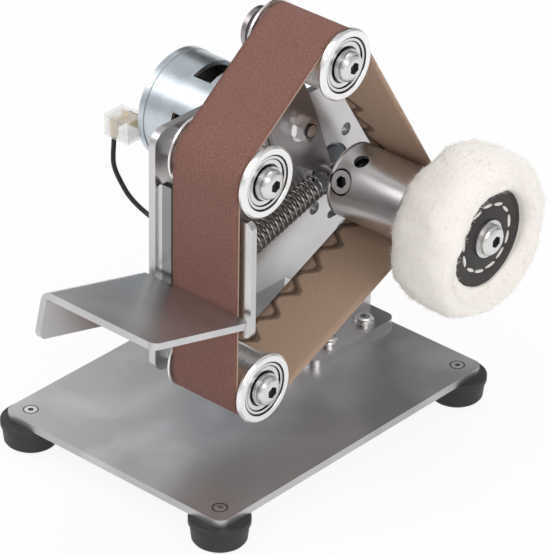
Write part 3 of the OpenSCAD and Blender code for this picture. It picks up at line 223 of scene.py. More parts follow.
floor_size, white_to_camera, white_in_metal = 9, 0.9, 0.45
_, paper = card("floor", at(0, 0, -0.2), at(0, 0, 100), floor_size, floor_size, (0.92, 0.92, 0.92))
lit = Wire(paper, paper.shader.outputs[0])
white = paper.node("ShaderNodeEmission", (1.0, 1.0, 1.0, 1.0), 1.0)
mirrored = paper.node("ShaderNodeLightPath", out="Is Glossy Ray")
whiteness = seen_directly(paper) * white_to_camera + mirrored * white_in_metal
shown = paper.node("ShaderNodeMixShader", whiteness, lit, white)
paper.tree.links.new(shown.socket, paper.tree.nodes["Material Output"].inputs["Surface"])

middle = at(0, 0, 80)
for name, way, wide, tall, grey in (
        ("card_left", (-1.2, 0.1, 0.35), 0.4, 0.9, 0.12),
        ("card_narrow", (-0.27, 0.36, 0.25), 0.2, 0.44, 0.03),
        ("card_behind", (0.55, 1.2, 0.25), 0.45, 0.7, 0.10),
        ("card_front", (0.1, -1.3, 0.3), 0.4, 0.8, 0.10)):
    side_card, _ = card(name, middle + Vector(way), middle, wide, tall, (grey,) * 3)
    side_card.visible_camera = side_card.visible_diffuse = side_card.visible_shadow = False

for name, way, size, watts in (
        ("box_left", (-0.9, -1.1, 1.5), 1.1, 12),
        ("box_right", (1.5, -0.5, 0.9), 0.9, 10),
        ("box_above", (0.1, 0.5, 1.9), 1.3, 9),
        ("box_behind", (-1.25, 1.05, 0.55), 1.2, 3)):
    lamp = bpy.data.lights.new(name, "AREA")
    lamp.shape, lamp.size, lamp.energy = "SQUARE", size, watts
    soft_box = bpy.data.objects.new(name, lamp)
    turned_to = Vector(way).to_track_quat("Z", "Y").to_matrix().to_4x4()
    soft_box.matrix_world = Matrix.Translation(middle + Vector(way)) @ turned_to
    scene.collection.objects.link(soft_box)

# ---- Leads ----
# Two thin black leads, stranded copper in soft plastic, run from the motor's connectors to the inlet's lugs.
# Each drops out of its crimp under its own weight and comes up behind the side plate.
lead_r, lead_steps = 0.95, 6
lead_routes = {
    "lead_front": [
        (-86.7, 22.33, 75.6), (-86.7, 22.33, 74.2), (-86.7, 22, 71.5), (-84.8, 19.9, 64.4), (-81.9, 20.2, 58.4),
        (-76.9, 21, 52.2), (-68.5, 22.1, 47.6), (-56, 21.5, 46), (-42, 18.5, 47.5), (-30, 13.5, 52),
        (-22.5, 10, 58.5), (-19.2, 6.2, 62.2), (-18.7, 3.6, 62.45)],
    "lead_rear": [
        (-86.7, 68.87, 82.3), (-86.7, 68.87, 80.9), (-86.75, 69.2, 77), (-86, 69.4, 70), (-83, 66, 61),
        (-76, 58, 54), (-64, 46, 51), (-50, 35, 51.5), (-36, 24, 54.5), (-24, 14.5, 59.5), (-16, 9.6, 62.4),
        (-13.6, 6.4, 62.5), (-13.3, 3.6, 62.45)]}


def eased(points, steps):
    """Points of the smooth line through the given ones."""
    ends = [2 * points[0] - points[1], *points, 2 * points[-1] - points[-2]]
    line = []
    for a, b, c, d in zip(ends, ends[1:], ends[2:], ends[3:]):
        for i in range(steps):
            t = i / steps
            line.append(0.5 * (2 * b + (c - a) * t + (2 * a - 5 * b + 4 * c - d) * t * t
                               + (3 * b - a - 3 * c + d) * t ** 3))
    return [*line, points[-1]]


def wire_line(name, points, radius, finish):
    """A round wire along a line of points."""
    curve = bpy.data.curves.new(name, "CURVE")
    curve.dimensions, curve.bevel_depth, curve.bevel_resolution, curve.use_fill_caps = "3D", radius, 4, True
    spline = curve.splines.new("POLY")
    spline.points.add(len(points) - 1)
    for knot, point in zip(spline.points, points):
        knot.co = (*point, 1)
    curve.materials.append(finish.owner)
    wire = bpy.data.objects.new(name, curve)
    scene.collection.objects.link(wire)
    return wire


lead_plastic = Finish("lead_plastic")
skin = lead_plastic.grain(lead_plastic.place(), 900, 4)
lead_plastic.surface(
    Base_Color=lead_plastic.blend(skin, (0.012, 0.012, 0.013), (0.03, 0.03, 0.031)),
    Roughness=0.3 + 0.2 * skin,
    Normal=lead_plastic.relief(skin, 0.00003))
for name, route in lead_routes.items():
    line = eased([at(*p) for p in route], lead_steps)
    lead = wire_line(name, line, lead_r / 1000, lead_plastic)
    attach(lead, "stand")
    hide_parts("lead_wires")
    sum((b - a).length for a, b in zip(line, line[1:]))

# ---- Base plate, side plate, arm, platen and bracket ----
# Stainless sheet, 2.5 to 3.5 mm thick, cut and bent, with the mill's brushed grain left on and no paint.
# The side plate's foot flange is screwed to the base, and the platen's leg to the side plate.
across_grain, along_grain = 3200.0, 60.0


def shades(tone, *shares):
    """A tone, darker or brighter by each share."""
    return [tuple(min(c * share, 1) for c in tone) for share in shares]


def brushed(name, along, tone, sheen=0.3, streak=0.1, cloudy=0.12, shade_bands=()):
    """Brushed sheet with its grain along one axis, cloudy marks, and painted shade in dark bands across X."""
    steel = Finish(name)
    stretch = [across_grain] * 3
    stretch["xyz".index(along)] = along_grain
    fine = steel.grain(steel.place(stretch), 1.0, 4, 0.62)
    broad = steel.grain(steel.place([s / 9 for s in stretch]), 1.0, 3, 0.5)
    cloud = steel.grain(steel.place(), 30, 2, 0.5, 0.6)
    mark = fine * 0.6 + broad * 0.4
    clear = steel.blend(mark, *shades(tone, 0.93, 1.05))
    clouded = steel.blend(mark, *shades(tone, 0.93 * (1 - cloudy), 1.05 * (1 - cloudy)))
    metal = steel.blend(((cloud - 0.42) * 5).held(), clouded, clear)
    # Painted shade: dark bands across X stand in for the shade on the strip between the side plate and the belt.
    if shade_bands:
        side = steel.along_x(steel.place(centre=at(0, 0, 0)))
        band_shade = 0.0
        for low, high in shade_bands:
            band_shade = (side > low / 1000) * (side < high / 1000) + band_shade
        metal = steel.blend(band_shade * (0.5 + 0.2 * mark), metal, (0.05, 0.047, 0.05))
    return steel.surface(
        Metallic=1.0,
        Base_Color=metal,
        Roughness=sheen - streak / 2 + streak * mark + 0.06 * cloud,
        Normal=steel.relief(mark, 0.000012))


brushed("base_steel", "y", (0.63, 0.625, 0.63), 0.36, cloudy=0.18).on("base_plate")
brushed("plate_steel", "y", (0.66, 0.645, 0.65), 0.3, 0.06).on("side_plate")
# The arm's sheet is the same steel in a darker tone: painted shade.
brushed("arm_steel", "y", (0.42, 0.395, 0.405), 0.3, 0.06).on("tension_arm")
# The platen gets two overlapping bands of painted shade near the side plate.
brushed("bar_steel", "z", (0.66, 0.65, 0.65), 0.24, shade_bands=[(0.4, 8.5), (4.6, 8.5)]).on("platen")
brushed("bracket_steel", "z", (0.66, 0.65, 0.65), 0.28).on("inlet_bracket")

# ---- Work table ----
# One piece of the same sheet, with its front edge bent down, hung on a screw through the side plate.
# Its grain runs across the belt, and its brushed marks are stronger than the side plate's.
brushed("table_steel", "x", (0.67, 0.665, 0.67), 0.31, 0.12).on("work_table")

# ---- Feet ----
# Four tapered feet of black moulded rubber, each held by a countersunk screw and a nut in its recess.
# The mould leaves a fine matt skin.
rubber = Finish("rubber")
skin = rubber.grain(rubber.place(), 2600, 4, 0.6)
dust = rubber.grain(rubber.place(), 120, 3, 0.5)
rubber.surface(
    Base_Color=rubber.blend(dust, (0.012, 0.012, 0.013), (0.035, 0.034, 0.033)),
    Roughness=0.42 + 0.2 * dust,
    Normal=rubber.relief(skin, 0.00004)).on("rubber_feet")

# ---- Screws, nuts, washers and pins ----
# Plain stainless fasteners: button, socket and countersunk screws, lock nuts and small pins.
# They are cold headed, so the metal is smooth with a few tool scuffs.
screw_steel = Finish("screw_steel")
scuff = screw_steel.grain(screw_steel.place(), 700, 5, 0.6, 0.4)
speck = screw_steel.grain(screw_steel.place(), 3800, 2, 0.5)
screw_steel.surface(
    Metallic=1.0,
    Base_Color=screw_steel.blend(scuff, (0.55, 0.54, 0.53), (0.76, 0.755, 0.75)),
    Roughness=0.16 + 0.2 * scuff,
    Normal=screw_steel.relief(speck * 0.5 + scuff, 0.00002))
screw_steel.on("foot_nuts", "flange_screws", "platen_screws", "axle_spacers", "axle_nuts", "anchor_pin",
               "table_screw", "motor_screws", "inlet_screws", "inlet_nuts", "inlet_ring_nut", "tension_spacers",
               "tension_nut", "hook_pin", "buff_washer")

roller_centres = {"lower": (-34.3, 44.7), "upper": (-34.3, 125.6), "tension": (4.5, 155.2)}
drive_axis = (45.6, 83.4)
axle_head_x, wheel_head_x = 42.9, 74.6
hexagon_r, hexagon_top = 0.0024, -0.0002


def recessed(name, head_x, *centres):
    """Screw steel, with painted shade inside the heads' hexagon sockets, which open towards +X on the given axes.
    """
    steel = Finish(name)
    rub = steel.grain(steel.place(), 700, 5, 0.6, 0.4)
    # Painted shade fills the hexagon sockets.
    socket_shade = 0.0
    for centre in centres:
        spot = steel.place(centre=at(head_x, *centre))
        socket_shade = (steel.off_axis(spot) < hexagon_r) * (steel.along_x(spot) < hexagon_top) + socket_shade
    bright = steel.blend(rub, (0.64, 0.63, 0.625), (0.86, 0.855, 0.85))
    return steel.surface(
        Metallic=1.0,
        Base_Color=steel.blend(socket_shade, bright, (0.15, 0.145, 0.145)),
        Roughness=0.2 + 0.2 * rub + 0.3 * socket_shade,
        Normal=steel.relief(rub, 0.00002))


recessed("axle_screw_steel", axle_head_x, roller_centres["lower"], roller_centres["upper"]).on("axle_screws")
recessed("tension_screw_steel", axle_head_x, roller_centres["tension"]).on("tension_axle_screw")
recessed("wheel_screw_steel", wheel_head_x, drive_axis).on("buff_screw")

foot_x, foot_y = 45.6, 63.6
foot_rim_r, foot_hexagon_r = 0.0023, 0.001
dull_steel = Finish("dull_steel")
rub = dull_steel.grain(dull_steel.place(), 300, 3, 0.5)
corner = dull_steel.place((1, 1, 0), at(0, 0, 0))
corner = dull_steel.node("ShaderNodeVectorMath", corner, operation="ABSOLUTE")
corner = dull_steel.node("ShaderNodeVectorMath", corner, (foot_x / 1000, foot_y / 1000, 0.0), operation="SUBTRACT")
from_axis = dull_steel.node("ShaderNodeVectorMath", corner, operation="LENGTH", out="Value")
# Painted shade: a dark ring round each foot screw's head and dark in its hexagon socket.
shadowed = (from_axis > foot_rim_r) + (from_axis < foot_hexagon_r)
bright = dull_steel.blend(rub, (0.66, 0.655, 0.65), (0.84, 0.835, 0.83))
dull_steel.surface(
    Metallic=1.0,
    Base_Color=dull_steel.blend(shadowed, bright, (0.14, 0.135, 0.13)),
    Roughness=0.3 + 0.12 * rub).on("foot_screws")

# ---- Idler rollers and their bearings ----
# Three turned and polished steel tubes, each on two shielded ball bearings pressed into its ends.
# The lathe leaves fine rings on the faces and along the tube.
inner_race_axis, pivot_axis = (-34.3, 85.15), (25.8, 109.3)


def turned(name, centre, tone, low, high, ring=5200.0, groove_shade=(), hole_shade=None):
    """Turned metal: fine rings round an axis along X, with painted shade in grooves between radii and inside a
    radius.
    """
    metal = Finish(name)
    spot = metal.place(centre=at(0, *centre))
    x, radius = metal.along_x(spot), metal.off_axis(spot)
    rings = metal.node("ShaderNodeCombineXYZ", x * ring, radius * ring, 0.0)
    cut = metal.grain(rings, 1.0, 3, 0.6)
    rub = metal.grain(metal.place(), 260, 4, 0.55)
    # Painted shade in the grooves and inside the given radius.
    painted_shade = 0.0
    for inner, outer in groove_shade:
        painted_shade = (radius > inner / 1000) * (radius < outer / 1000) + painted_shade
    if hole_shade:
        deep, x_from, x_to = hole_shade
        painted_shade = (radius < deep / 1000) * (x > x_from / 1000) * (x < x_to / 1000) + painted_shade
    worn = metal.blend(cut * 0.5 + rub * 0.5, *shades(tone, 0.9, 1.08))
    return metal.surface(
        Metallic=1.0,
        Base_Color=metal.blend(painted_shade, worn, (0.045, 0.044, 0.045)) if groove_shade or hole_shade else worn,
        Roughness=low + (high - low) * (cut * 0.6 + rub * 0.4),
        Normal=metal.relief(cut, 0.000012))


# The dark rings on the rollers' and bearings' ends are painted shade in the gaps between the parts.
for which, centre in roller_centres.items():
    turned(f"roller_{which}_steel", centre, (0.93, 0.925, 0.925), 0.2, 0.36,
           groove_shade=[(9.4, 10.1)]).on(f"roller_{which}")
    races = ["tension_inner_races"] if which == "tension" else []
    turned(f"bearing_{which}_steel", centre, (0.74, 0.735, 0.73), 0.12, 0.3,
           groove_shade=[(6.0, 6.7), (8.15, 8.6)]).on(f"outer_races_{which}", *races)
    screw_steel.on(f"balls_{which}")
turned("inner_race_steel", inner_race_axis, (0.72, 0.72, 0.72), 0.12, 0.26).on("inner_races")
# The dark ring on the pivot screw and nuts is painted shade at the thread's edge.
turned("pivot_steel", pivot_axis, (0.90, 0.89, 0.885), 0.12, 0.24,
       groove_shade=[(2.3, 2.7)]).on("pivot_screw", "pivot_washers", "lock_nuts")

# ---- Motor ----
# A brushed direct-current motor: a drawn steel can, plated bluish zinc, with two magnets glued inside.
# The wound armature turns on the shaft, and a black moulded cap closes the can and holds the brushes.
can_zinc = Finish("can_zinc")
bloom = can_zinc.grain(can_zinc.place(), 150, 4, 0.6, 0.6)
drawn = can_zinc.grain(can_zinc.place((30, 900, 900)), 1.0, 3, 0.5)
can_face_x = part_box("motor_can")[1].x - 0.0004
# Painted shade: the can's front face, behind the side plate, is made near black.
shaded_face = (can_zinc.along_x(can_zinc.place()) > can_face_x) * 0.85
zinc = can_zinc.blend(bloom, (0.47, 0.53, 0.58), (0.76, 0.81, 0.84))
can_zinc.surface(
    Metallic=1.0,
    Base_Color=can_zinc.blend(shaded_face, zinc, (0.03, 0.03, 0.035)),
    Roughness=0.2 + 0.16 * bloom + 0.08 * drawn,
    Normal=can_zinc.relief(drawn * 0.7 + bloom * 0.3, 0.00003)).on("motor_can")

cap_plastic = Finish("cap_plastic")
pebble = cap_plastic.grain(cap_plastic.place(), 1800, 3, 0.5)
cap_plastic.surface(
    Base_Color=cap_plastic.blend(pebble, (0.014, 0.014, 0.015), (0.032, 0.032, 0.033)),
    Roughness=0.38 + 0.16 * pebble,
    Normal=cap_plastic.relief(pebble, 0.00005)).on("motor_end_cap", "power_inlet")

magnet_grey = Finish("magnet_grey")
sinter = magnet_grey.grain(magnet_grey.place(), 1300, 5, 0.65)
magnet_grey.surface(
    Metallic=0.4,
    Base_Color=magnet_grey.blend(sinter, (0.13, 0.125, 0.11), (0.26, 0.25, 0.23)),
    Roughness=0.5 + 0.2 * sinter,
    Normal=magnet_grey.relief(sinter, 0.00005)).on("motor_magnets", "armature_core", "motor_brushes")

turned("shaft_steel", drive_axis, (0.74, 0.74, 0.74), 0.14, 0.28).on("motor_shaft", "motor_bearings")

copper = Finish("copper")
lay = copper.grain(copper.place((40, 2600, 2600)), 1.0, 3, 0.5)
copper.surface(
    Metallic=1.0,
    Base_Color=copper.blend(lay, (0.42, 0.16, 0.07), (0.78, 0.38, 0.2)),
    Roughness=0.24 + 0.2 * lay,
    Normal=copper.relief(lay, 0.0001)).on("armature_windings", "commutator")

# ---- Connectors ----
# Two stamped brass spade connectors, each crimped on a lead and pushed on a motor terminal.
# A soft, milky plastic sleeve covers each one.
brass = Finish("brass")
stamp = brass.grain(brass.place(), 900, 4, 0.6)
brass.surface(
    Metallic=1.0,
    Base_Color=brass.blend(stamp, (0.62, 0.47, 0.22), (0.85, 0.72, 0.42)),
    Roughness=0.2 + 0.24 * stamp,
    Normal=brass.relief(stamp, 0.00003)).on("spade_terminals", "motor_terminals")

sleeve_plastic = Finish("sleeve_plastic")
milk = sleeve_plastic.grain(sleeve_plastic.place(), 240, 3, 0.5)
sleeve_plastic.surface(
    Base_Color=sleeve_plastic.blend(milk, (0.88, 0.88, 0.885), (0.98, 0.98, 0.98)),
    Roughness=0.16 + 0.14 * milk,
    Alpha=0.12 + 0.3 * milk,
    Normal=sleeve_plastic.relief(milk, 0.0004)).on("connector_sleeves")

# ---- Drive drum ----
# A turned alloy drum, bored for the motor shaft and held on it by a sunk screw and a set screw in its wall.
# A shallow groove runs round it near each end, and its nose carries the polishing wheel.
# The dark inside the drum's nose, and on the screw sunk in it, is painted shade.
turned("drum_alloy", drive_axis, (0.76, 0.745, 0.745), 0.28, 0.4, ring=3600.0,
       hole_shade=(12.4, 8.2, 43.3)).on("drive_drum")
turned("drum_screw_steel", drive_axis, (0.90, 0.88, 0.86), 0.2, 0.34, hole_shade=(13.0, 0, 60)).on("drum_screws")

# ---- Tension spring ----
# An extension spring of dark oiled wire, close wound, with a hook loop at each end.
# It pulls the arm's tail pin towards the pin in the side plate.
anchor, hook = at(3.3, -8, 73.2), at(3.3, 40.6, 86.8)
pull = (hook - anchor).normalized()
pull_side = Vector((0, -pull.z, pull.y))
reach = (hook - anchor).length
coil_r, pitch, turns, coil_start, loop_r, wire_r = 0.00405, 0.0024, 15, 0.0062, 0.00255, 0.0006
coil_steps, loop_steps, join_steps = 24, 20, 5
near_from, far_from, loop_sweep = 60, 240, 240


def spring_point(along, out, high):
    return anchor + along * pull + Vector((out, 0, 0)) + high * pull_side


def hook_loop(middle_at, from_angle):
    """The open loop of wire round a pin."""
    angles = (math.radians(from_angle + loop_sweep * i / loop_steps) for i in range(loop_steps + 1))
    return [spring_point(middle_at + loop_r * math.cos(a), 0, loop_r * math.sin(a)) for a in angles]


def leap(a, b, c, d):
    """Points between b and c that leave and arrive smoothly."""
    return eased([a, b, c, d], join_steps)[join_steps + 1:2 * join_steps]


near_loop, far_loop = hook_loop(0, near_from), hook_loop(reach, far_from)
coil = []
for i in range(coil_steps * turns + 1):
    a = math.tau * i / coil_steps - math.pi / 2
    coil.append(spring_point(coil_start + pitch * i / coil_steps, coil_r * math.cos(a), coil_r * math.sin(a)))
first_join = leap(near_loop[-2], near_loop[-1], coil[0], coil[1])
last_join = leap(coil[-2], coil[-1], far_loop[0], far_loop[1])

spring_wire = Finish("spring_wire")
oil = spring_wire.grain(spring_wire.place(), 1100, 4, 0.6)
spring_wire.surface(
    Metallic=1.0,
    Base_Color=spring_wire.blend(oil, (0.17, 0.165, 0.16), (0.42, 0.41, 0.40)),
    Roughness=0.18 + 0.2 * oil,
    Normal=spring_wire.relief(oil, 0.00002))
line = wire_line("spring_line", [*near_loop, *first_join, *coil, *last_join, *far_loop], wire_r, spring_wire)
spring_mesh = bpy.data.meshes.new_from_object(line.evaluated_get(bpy.context.evaluated_depsgraph_get()))
bpy.data.objects.remove(line)
spring = bpy.data.objects.new("spring", spring_mesh)
scene.collection.objects.link(spring)
for face in spring_mesh.polygons:
    face.use_smooth = True
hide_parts("tension_spring")
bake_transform(spring)

# ---- Sanding belt ----
# An endless loop of tan cotton cloth, 30 mm wide, with red-brown grit glued to its outer face.
# It runs round the drum and the three rollers, and its bare inner face shows a printed zigzag.
belt_x, belt_w, belt_t, belt_air, drum_r, roller_r = 7.1, 30.0, 0.7, 0.3, 14.0, 11.0
columns, arc_step, run_step, weld = 12, 0.14, 3, 0.00005
wheels = [*((centre, roller_r) for centre in roller_centres.values()), (drive_axis, drum_r)]


def belt_r(wheel_r):
    """The radius of the belt's outer face over a wheel."""
    return wheel_r + belt_air + belt_t


def belt_yz(wheel, angle):
    """The place of the belt's outer face at an angle round a wheel."""
    (y, z), wheel_r = wheel
    return y + belt_r(wheel_r) * math.cos(angle), z + belt_r(wheel_r) * math.sin(angle)


def belt_tangents():
    """For each wheel of the loop, the angles at which the belt comes on and goes off."""
    leaving = []
    for (c, r), (d, q) in zip(wheels, wheels[1:] + wheels[:1]):
        way = math.atan2(d[1] - c[1], d[0] - c[0])
        leaving.append(way + math.acos((r - q) / math.dist(c, d)))
    return [(leaving[i - 1], leaving[i]) for i in range(len(wheels))]


belt_mesh = bmesh.new()
belt_uv = belt_mesh.loops.layers.uv.new("along")
first_yz = belt_yz(wheels[0], belt_tangents()[0][0])
start = [belt_mesh.verts.new(at(belt_x + belt_w * i / columns, *first_yz)) for i in range(columns + 1)]
row = [belt_mesh.edges.new(pair) for pair in zip(start, start[1:])]
gone = 0.0


def lengthen(row, gone, step, matrix):
    """The next row of the belt's faces, with its place along the belt kept in the map."""
    grown = bmesh.ops.extrude_edge_only(belt_mesh, edges=row)["geom"]
    fresh = [g for g in grown if isinstance(g, bmesh.types.BMVert)]
    bmesh.ops.transform(belt_mesh, matrix=matrix, verts=fresh)
    for face in (g for g in grown if isinstance(g, bmesh.types.BMFace)):
        for corner in face.loops:
            across = (corner.vert.co.x - at(belt_x, 0, 0).x) * 1000 / belt_w
            corner[belt_uv].uv = ((gone + (step if corner.vert in fresh else 0)) / belt_w, across)
    edges = [g for g in grown if isinstance(g, bmesh.types.BMEdge) and all(v in fresh for v in g.verts)]
    return edges, gone + step


for i, (wheel, (comes, goes)) in enumerate(zip(wheels, belt_tangents())):
    centre, wheel_r = wheel
    sweep = (comes - goes) % math.tau
    pieces = max(2, round(sweep / arc_step))
    pivot = at(0, *centre)
    bend = Matrix.Translation(pivot) @ Matrix.Rotation(-sweep / pieces, 4, "X") @ Matrix.Translation(-pivot)
    for _ in range(pieces):
        row, gone = lengthen(row, gone, belt_r(wheel_r) * sweep / pieces, bend)
    leaves, lands = belt_yz(wheel, goes), belt_yz(wheels[(i + 1) % len(wheels)], goes)
    span = math.dist(leaves, lands)
    pieces = max(2, round(span / run_step))
    move = Vector((0, lands[0] - leaves[0], lands[1] - leaves[1])) / 1000 / pieces
    for _ in range(pieces):
        row, gone = lengthen(row, gone, span / pieces, Matrix.Translation(move))
bmesh.ops.remove_doubles(belt_mesh, verts=belt_mesh.verts, dist=weld)
for face in belt_mesh.faces:
    face.smooth = True
within = at(23.4, 4.5, 100)
if sum(face.normal.dot(face.calc_center_median() - within) for face in belt_mesh.faces) < 0:
    bmesh.ops.reverse_faces(belt_mesh, faces=belt_mesh.faces)
mesh = bpy.data.meshes.new("belt")
belt_mesh.to_mesh(mesh)
belt_mesh.free()
belt = bpy.data.objects.new("belt", mesh)
scene.collection.objects.link(belt)

grit = Finish("grit")
uv = grit.node("ShaderNodeTexCoord", out="UV")
grains = grit.node("ShaderNodeTexVoronoi", sockets={"Vector": uv, "Scale": 95.0}, out="Distance")
tint = grit.grain(uv, 70, 4, 0.7)
speck = grit.grain(uv, 34, 2, 0.6)
patch = grit.grain(uv, 3.5, 4, 0.6)
grit.surface(
    Base_Color=grit.blend(patch * 0.2 + (tint - 0.5) * 1.8 + (speck - 0.5) * 1.2 + 0.4,
                          (0.15, 0.058, 0.043), (0.335, 0.16, 0.125)),
    Roughness=0.62 + 0.2 * tint,
    Normal=grit.relief(grains * -1 + tint, 0.00022))

threads, zigzag_pitch, zigzag_height, stroke = 420, 12, 0.19, 0.078
cloth = Finish("cloth")
uv = cloth.node("ShaderNodeTexCoord", out="UV")
u, v = (cloth.node("ShaderNodeSeparateXYZ", uv, out=i) for i in (0, 1))
weave = (u * threads).sine() * (v * threads).sine()
fuzz = cloth.grain(uv, 26, 5, 0.65)
tooth = cloth.node("ShaderNodeMath", u * (belt_w / zigzag_pitch), operation="FRACT")
edge_v = (abs(tooth - 0.5) * 3 - 0.25).held() * zigzag_height
from_edge = abs(v - edge_v + 0.09 * cloth.grain(uv, 5, 3) - 0.045)
ink = ((stroke - from_edge) * 26).held() * (0.5 + 0.5 * cloth.grain(uv, 9, 3)) + 0.22 * (v < edge_v)
bare = cloth.blend(fuzz * 0.8 + weave * 0.1, (0.46, 0.305, 0.215), (0.76, 0.545, 0.395))
cloth.surface(
    Base_Color=cloth.blend(ink, bare, (0.12, 0.078, 0.05)),
    Roughness=0.8 + 0.1 * fuzz,
    Normal=cloth.relief(weave * 0.5 + fuzz, 0.00012))

cut_edge = Finish("cut_edge")
frayed = cut_edge.grain(cut_edge.place(), 1500, 3)
cut_edge.surface(
    Base_Color=cut_edge.blend(frayed, (0.30, 0.18, 0.13), (0.60, 0.44, 0.34)),
    Roughness=0.85,
    Normal=cut_edge.relief(frayed, 0.0002))
for finish in (grit, cloth, cut_edge):
    mesh.materials.append(finish.owner)
wall = belt.modifiers.new("thickness", "SOLIDIFY")
wall.thickness, wall.offset, wall.material_offset, wall.material_offset_rim = belt_t / 1000, -1, 1, 2
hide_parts("sanding_belt")
at(0, -34, 137)
at(0, -16.4, 171.8)
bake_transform(belt)

# ---- Polishing wheel ----
# A wheel of cream lamb's wool pile, about 60 mm across, pressed round a hub and faced with leather.
# The pile bulges past the leather at the front and stands up in small matted wisps.
hub_y, hub_z = drive_axis
hub = at(0, hub_y, hub_z)
wheel_steps = 120
wheel_outline = [
    (50.2, 4.2), (49.6, 12), (49.2, 19), (48.9, 22.5), (49.4, 26), (51.6, 28.9), (55.5, 30.2), (61, 30.7),
    (66.5, 30.4), (71, 29.1), (74, 26.8), (75.4, 23.8), (75.2, 21.2), (73.9, 19.3), (71.8, 18.3), (70.0, 18.2),
    (69.0, 17), (68.9, 11), (68.9, 4.2)]


def spun(mesh, outline, steps):
    """Adds a closed outline, given as x and radius, turned round the drive's axis."""
    dots = [mesh.verts.new(at(x, hub_y, hub_z + r)) for x, r in outline]
    edges = [mesh.edges.new(pair) for pair in zip(dots, dots[1:])] + [mesh.edges.new((dots[-1], dots[0]))]
    bmesh.ops.spin(mesh, geom=dots + edges, cent=hub, axis=(1, 0, 0), angle=math.tau, steps=steps, use_merge=True)


def closed(mesh):
    """Merges the seam of spun shapes and turns their faces outwards."""
    bmesh.ops.remove_doubles(mesh, verts=mesh.verts, dist=0.00001)
    bmesh.ops.recalc_face_normals(mesh, faces=mesh.faces)


def from_hub(point):
    return math.hypot(point.y - hub.y, point.z - hub.z)


def on_wheel(face):
    """A face's column round the wheel, then its place on the outline, so that the order is always the same."""
    spot = face.calc_center_median()
    angle = math.atan2(spot.z - hub.z, spot.y - hub.y) % math.tau
    return int(angle / math.tau * 2 * wheel_steps) + spot.x + 0.37 * from_hub(spot)


def share(value):
    return min(1, max(0, value))


wheel = bmesh.new()
spun(wheel, wheel_outline, wheel_steps)
closed(wheel)
bmesh.ops.subdivide_edges(wheel, edges=wheel.edges, cuts=1, use_grid_fill=True, smooth=0.6)
wheel.normal_update()
wheel.faces.sort(key=on_wheel)
lumps = [(90, 0.0011), (300, 0.0005), (900, 0.0002)]
pile_from, pressed_to, fade = 0.017, 0.026, 0.004
pressed_way, pressed_x = math.radians(-105), at(70.6, 0, 0).x
for vert in wheel.verts:
    radius = from_hub(vert.co)
    lump = sum(noise.noise(vert.co * fineness) * height for fineness, height in lumps)
    vert.co += vert.normal * lump * share((radius - pile_from) / fade)
    way = math.atan2(vert.co.z - hub.z, vert.co.y - hub.y)
    pressed = share((pressed_to - radius) / fade) * share(1.5 * math.cos(way - pressed_way))
    vert.co.x -= max(0.0, vert.co.x - pressed_x) * 0.8 * pressed

random.seed(7)
tuft_count, bare_r = 3600, 0.0185
tufts = bmesh.new()
roots = [face for face in wheel.faces if from_hub(face.calc_center_median()) > bare_r]
for face in random.choices(roots, weights=[face.calc_area() for face in roots], k=tuft_count):
    root = face.calc_center_median()
    lean = Vector([random.gauss(0, 0.9) for _ in range(3)])
    way = (face.normal + lean - lean.dot(face.normal) * face.normal).normalized()
    length = random.uniform(0.0010, 0.0024)
    stand = Matrix.Translation(root + way * length * 0.35) @ way.to_track_quat("Z", "Y").to_matrix().to_4x4()
    bmesh.ops.create_cone(tufts, segments=3, radius1=random.uniform(0.00005, 0.00011), radius2=0.00001,
                          depth=length, matrix=stand)


def piece(name, made, finish, body, slot, *replaced):
    """A finished mesh as an object that rides a body."""
    for face in made.faces:
        face.smooth = True
    mesh = bpy.data.meshes.new(name)
    made.to_mesh(mesh)
    made.free()
    mesh.materials.append(finish.owner)
    shown = bpy.data.objects.new(name, mesh)
    scene.collection.objects.link(shown)
    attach(shown, body)
    if replaced:
        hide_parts(*replaced)


wool = Finish("wool")
clump = wool.grain(wool.place(), 170, 5, 0.6, 0.8)
hair = wool.grain(wool.place(), 1500, 4, 0.7, 1.5)
stain = wool.grain(wool.place(), 42, 3, 0.5)
wool.surface(
    Base_Color=wool.blend(clump * 0.5 + hair * 0.25 + stain * 0.25, (0.90, 0.84, 0.765), (0.985, 0.945, 0.90)),
    Roughness=0.95,
    Specular_IOR_Level=0.2,
    Sheen_Weight=0.5,
    Normal=wool.relief(clump * 0.6 + hair * 0.4, 0.0003))
piece("wool_wheel", wheel, wool, "drive", "wool", "buff_wheel")
piece("wool_tufts", tufts, wool, "drive", "wool")

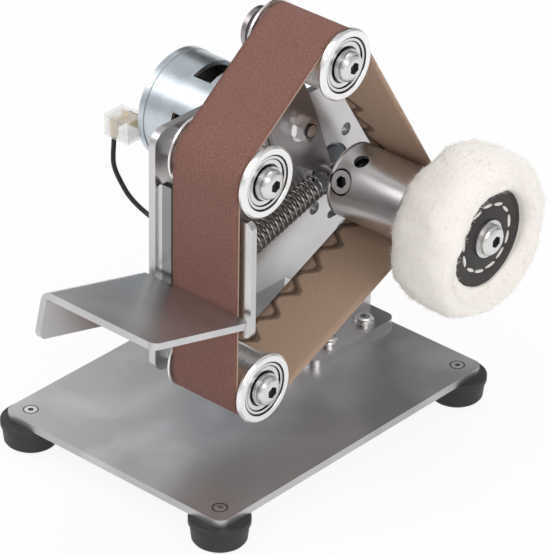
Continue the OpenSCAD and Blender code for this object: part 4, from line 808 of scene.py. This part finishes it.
# ---- Leather facings ----
# Black leather discs on both faces of the wheel, sewn through wool and leather with thick white thread.
# The stitches pull the leather in along their circle, 25 mm across.
stitch_r = 12.5
disc_outline = [(0.0, 4.0), (1.15, 4.0), (1.2, 8.0), (1.1, 11.2), (0.55, stitch_r), (1.05, 13.8), (1.15, 17.2),
                (0.9, 18.4), (0.5, 18.7), (0.0, 18.6)]
discs = bmesh.new()
for face_x, way in ((69.2, 1), (49.4, -1)):
    spun(discs, [(face_x + way * x, r) for x, r in disc_outline], 96)
closed(discs)
leather = Finish("leather")
pores = leather.node("ShaderNodeTexVoronoi", sockets={"Vector": leather.place(), "Scale": 1500.0}, out="Distance")
crease = leather.grain(leather.place(), 420, 4, 0.6)
leather.surface(
    Base_Color=leather.blend(crease, (0.011, 0.008, 0.008), (0.036, 0.029, 0.028)),
    Roughness=0.38 + 0.22 * crease,
    Normal=leather.relief(pores * 0.7 + crease * 0.6, 0.00018))
piece("leather_discs", discs, leather, "drive", "leather", "leather_facings")

stitches, stitch_thick, stitch_faces = 13, 0.00066, (69.95, 48.65)
sewing = bmesh.new()
for face_x in stitch_faces:
    for i in range(stitches):
        spot = math.tau * (i + random.uniform(-0.08, 0.08)) / stitches
        lean = spot + random.uniform(-0.24, 0.24)
        made = bmesh.ops.create_uvsphere(sewing, u_segments=10, v_segments=8, radius=stitch_thick)["verts"]
        bmesh.ops.scale(sewing, vec=(0.8, random.uniform(3.4, 4.2), random.uniform(0.8, 1.1)), verts=made)
        place = (Matrix.Translation(at(face_x, hub_y, hub_z)) @ Matrix.Rotation(spot, 4, "X")
                 @ Matrix.Translation((0, 0, stitch_r / 1000)) @ Matrix.Rotation(lean - spot, 4, "X"))
        bmesh.ops.transform(sewing, matrix=place, verts=made)
thread = Finish("thread")
ply = thread.grain(thread.place(), 2400, 3, 0.6)
thread.surface(
    Base_Color=thread.blend(ply, (0.62, 0.60, 0.57), (0.95, 0.94, 0.91)),
    Roughness=0.8,
    Normal=thread.relief(ply, 0.0002))
piece("stitches", sewing, thread, "drive", "leather")
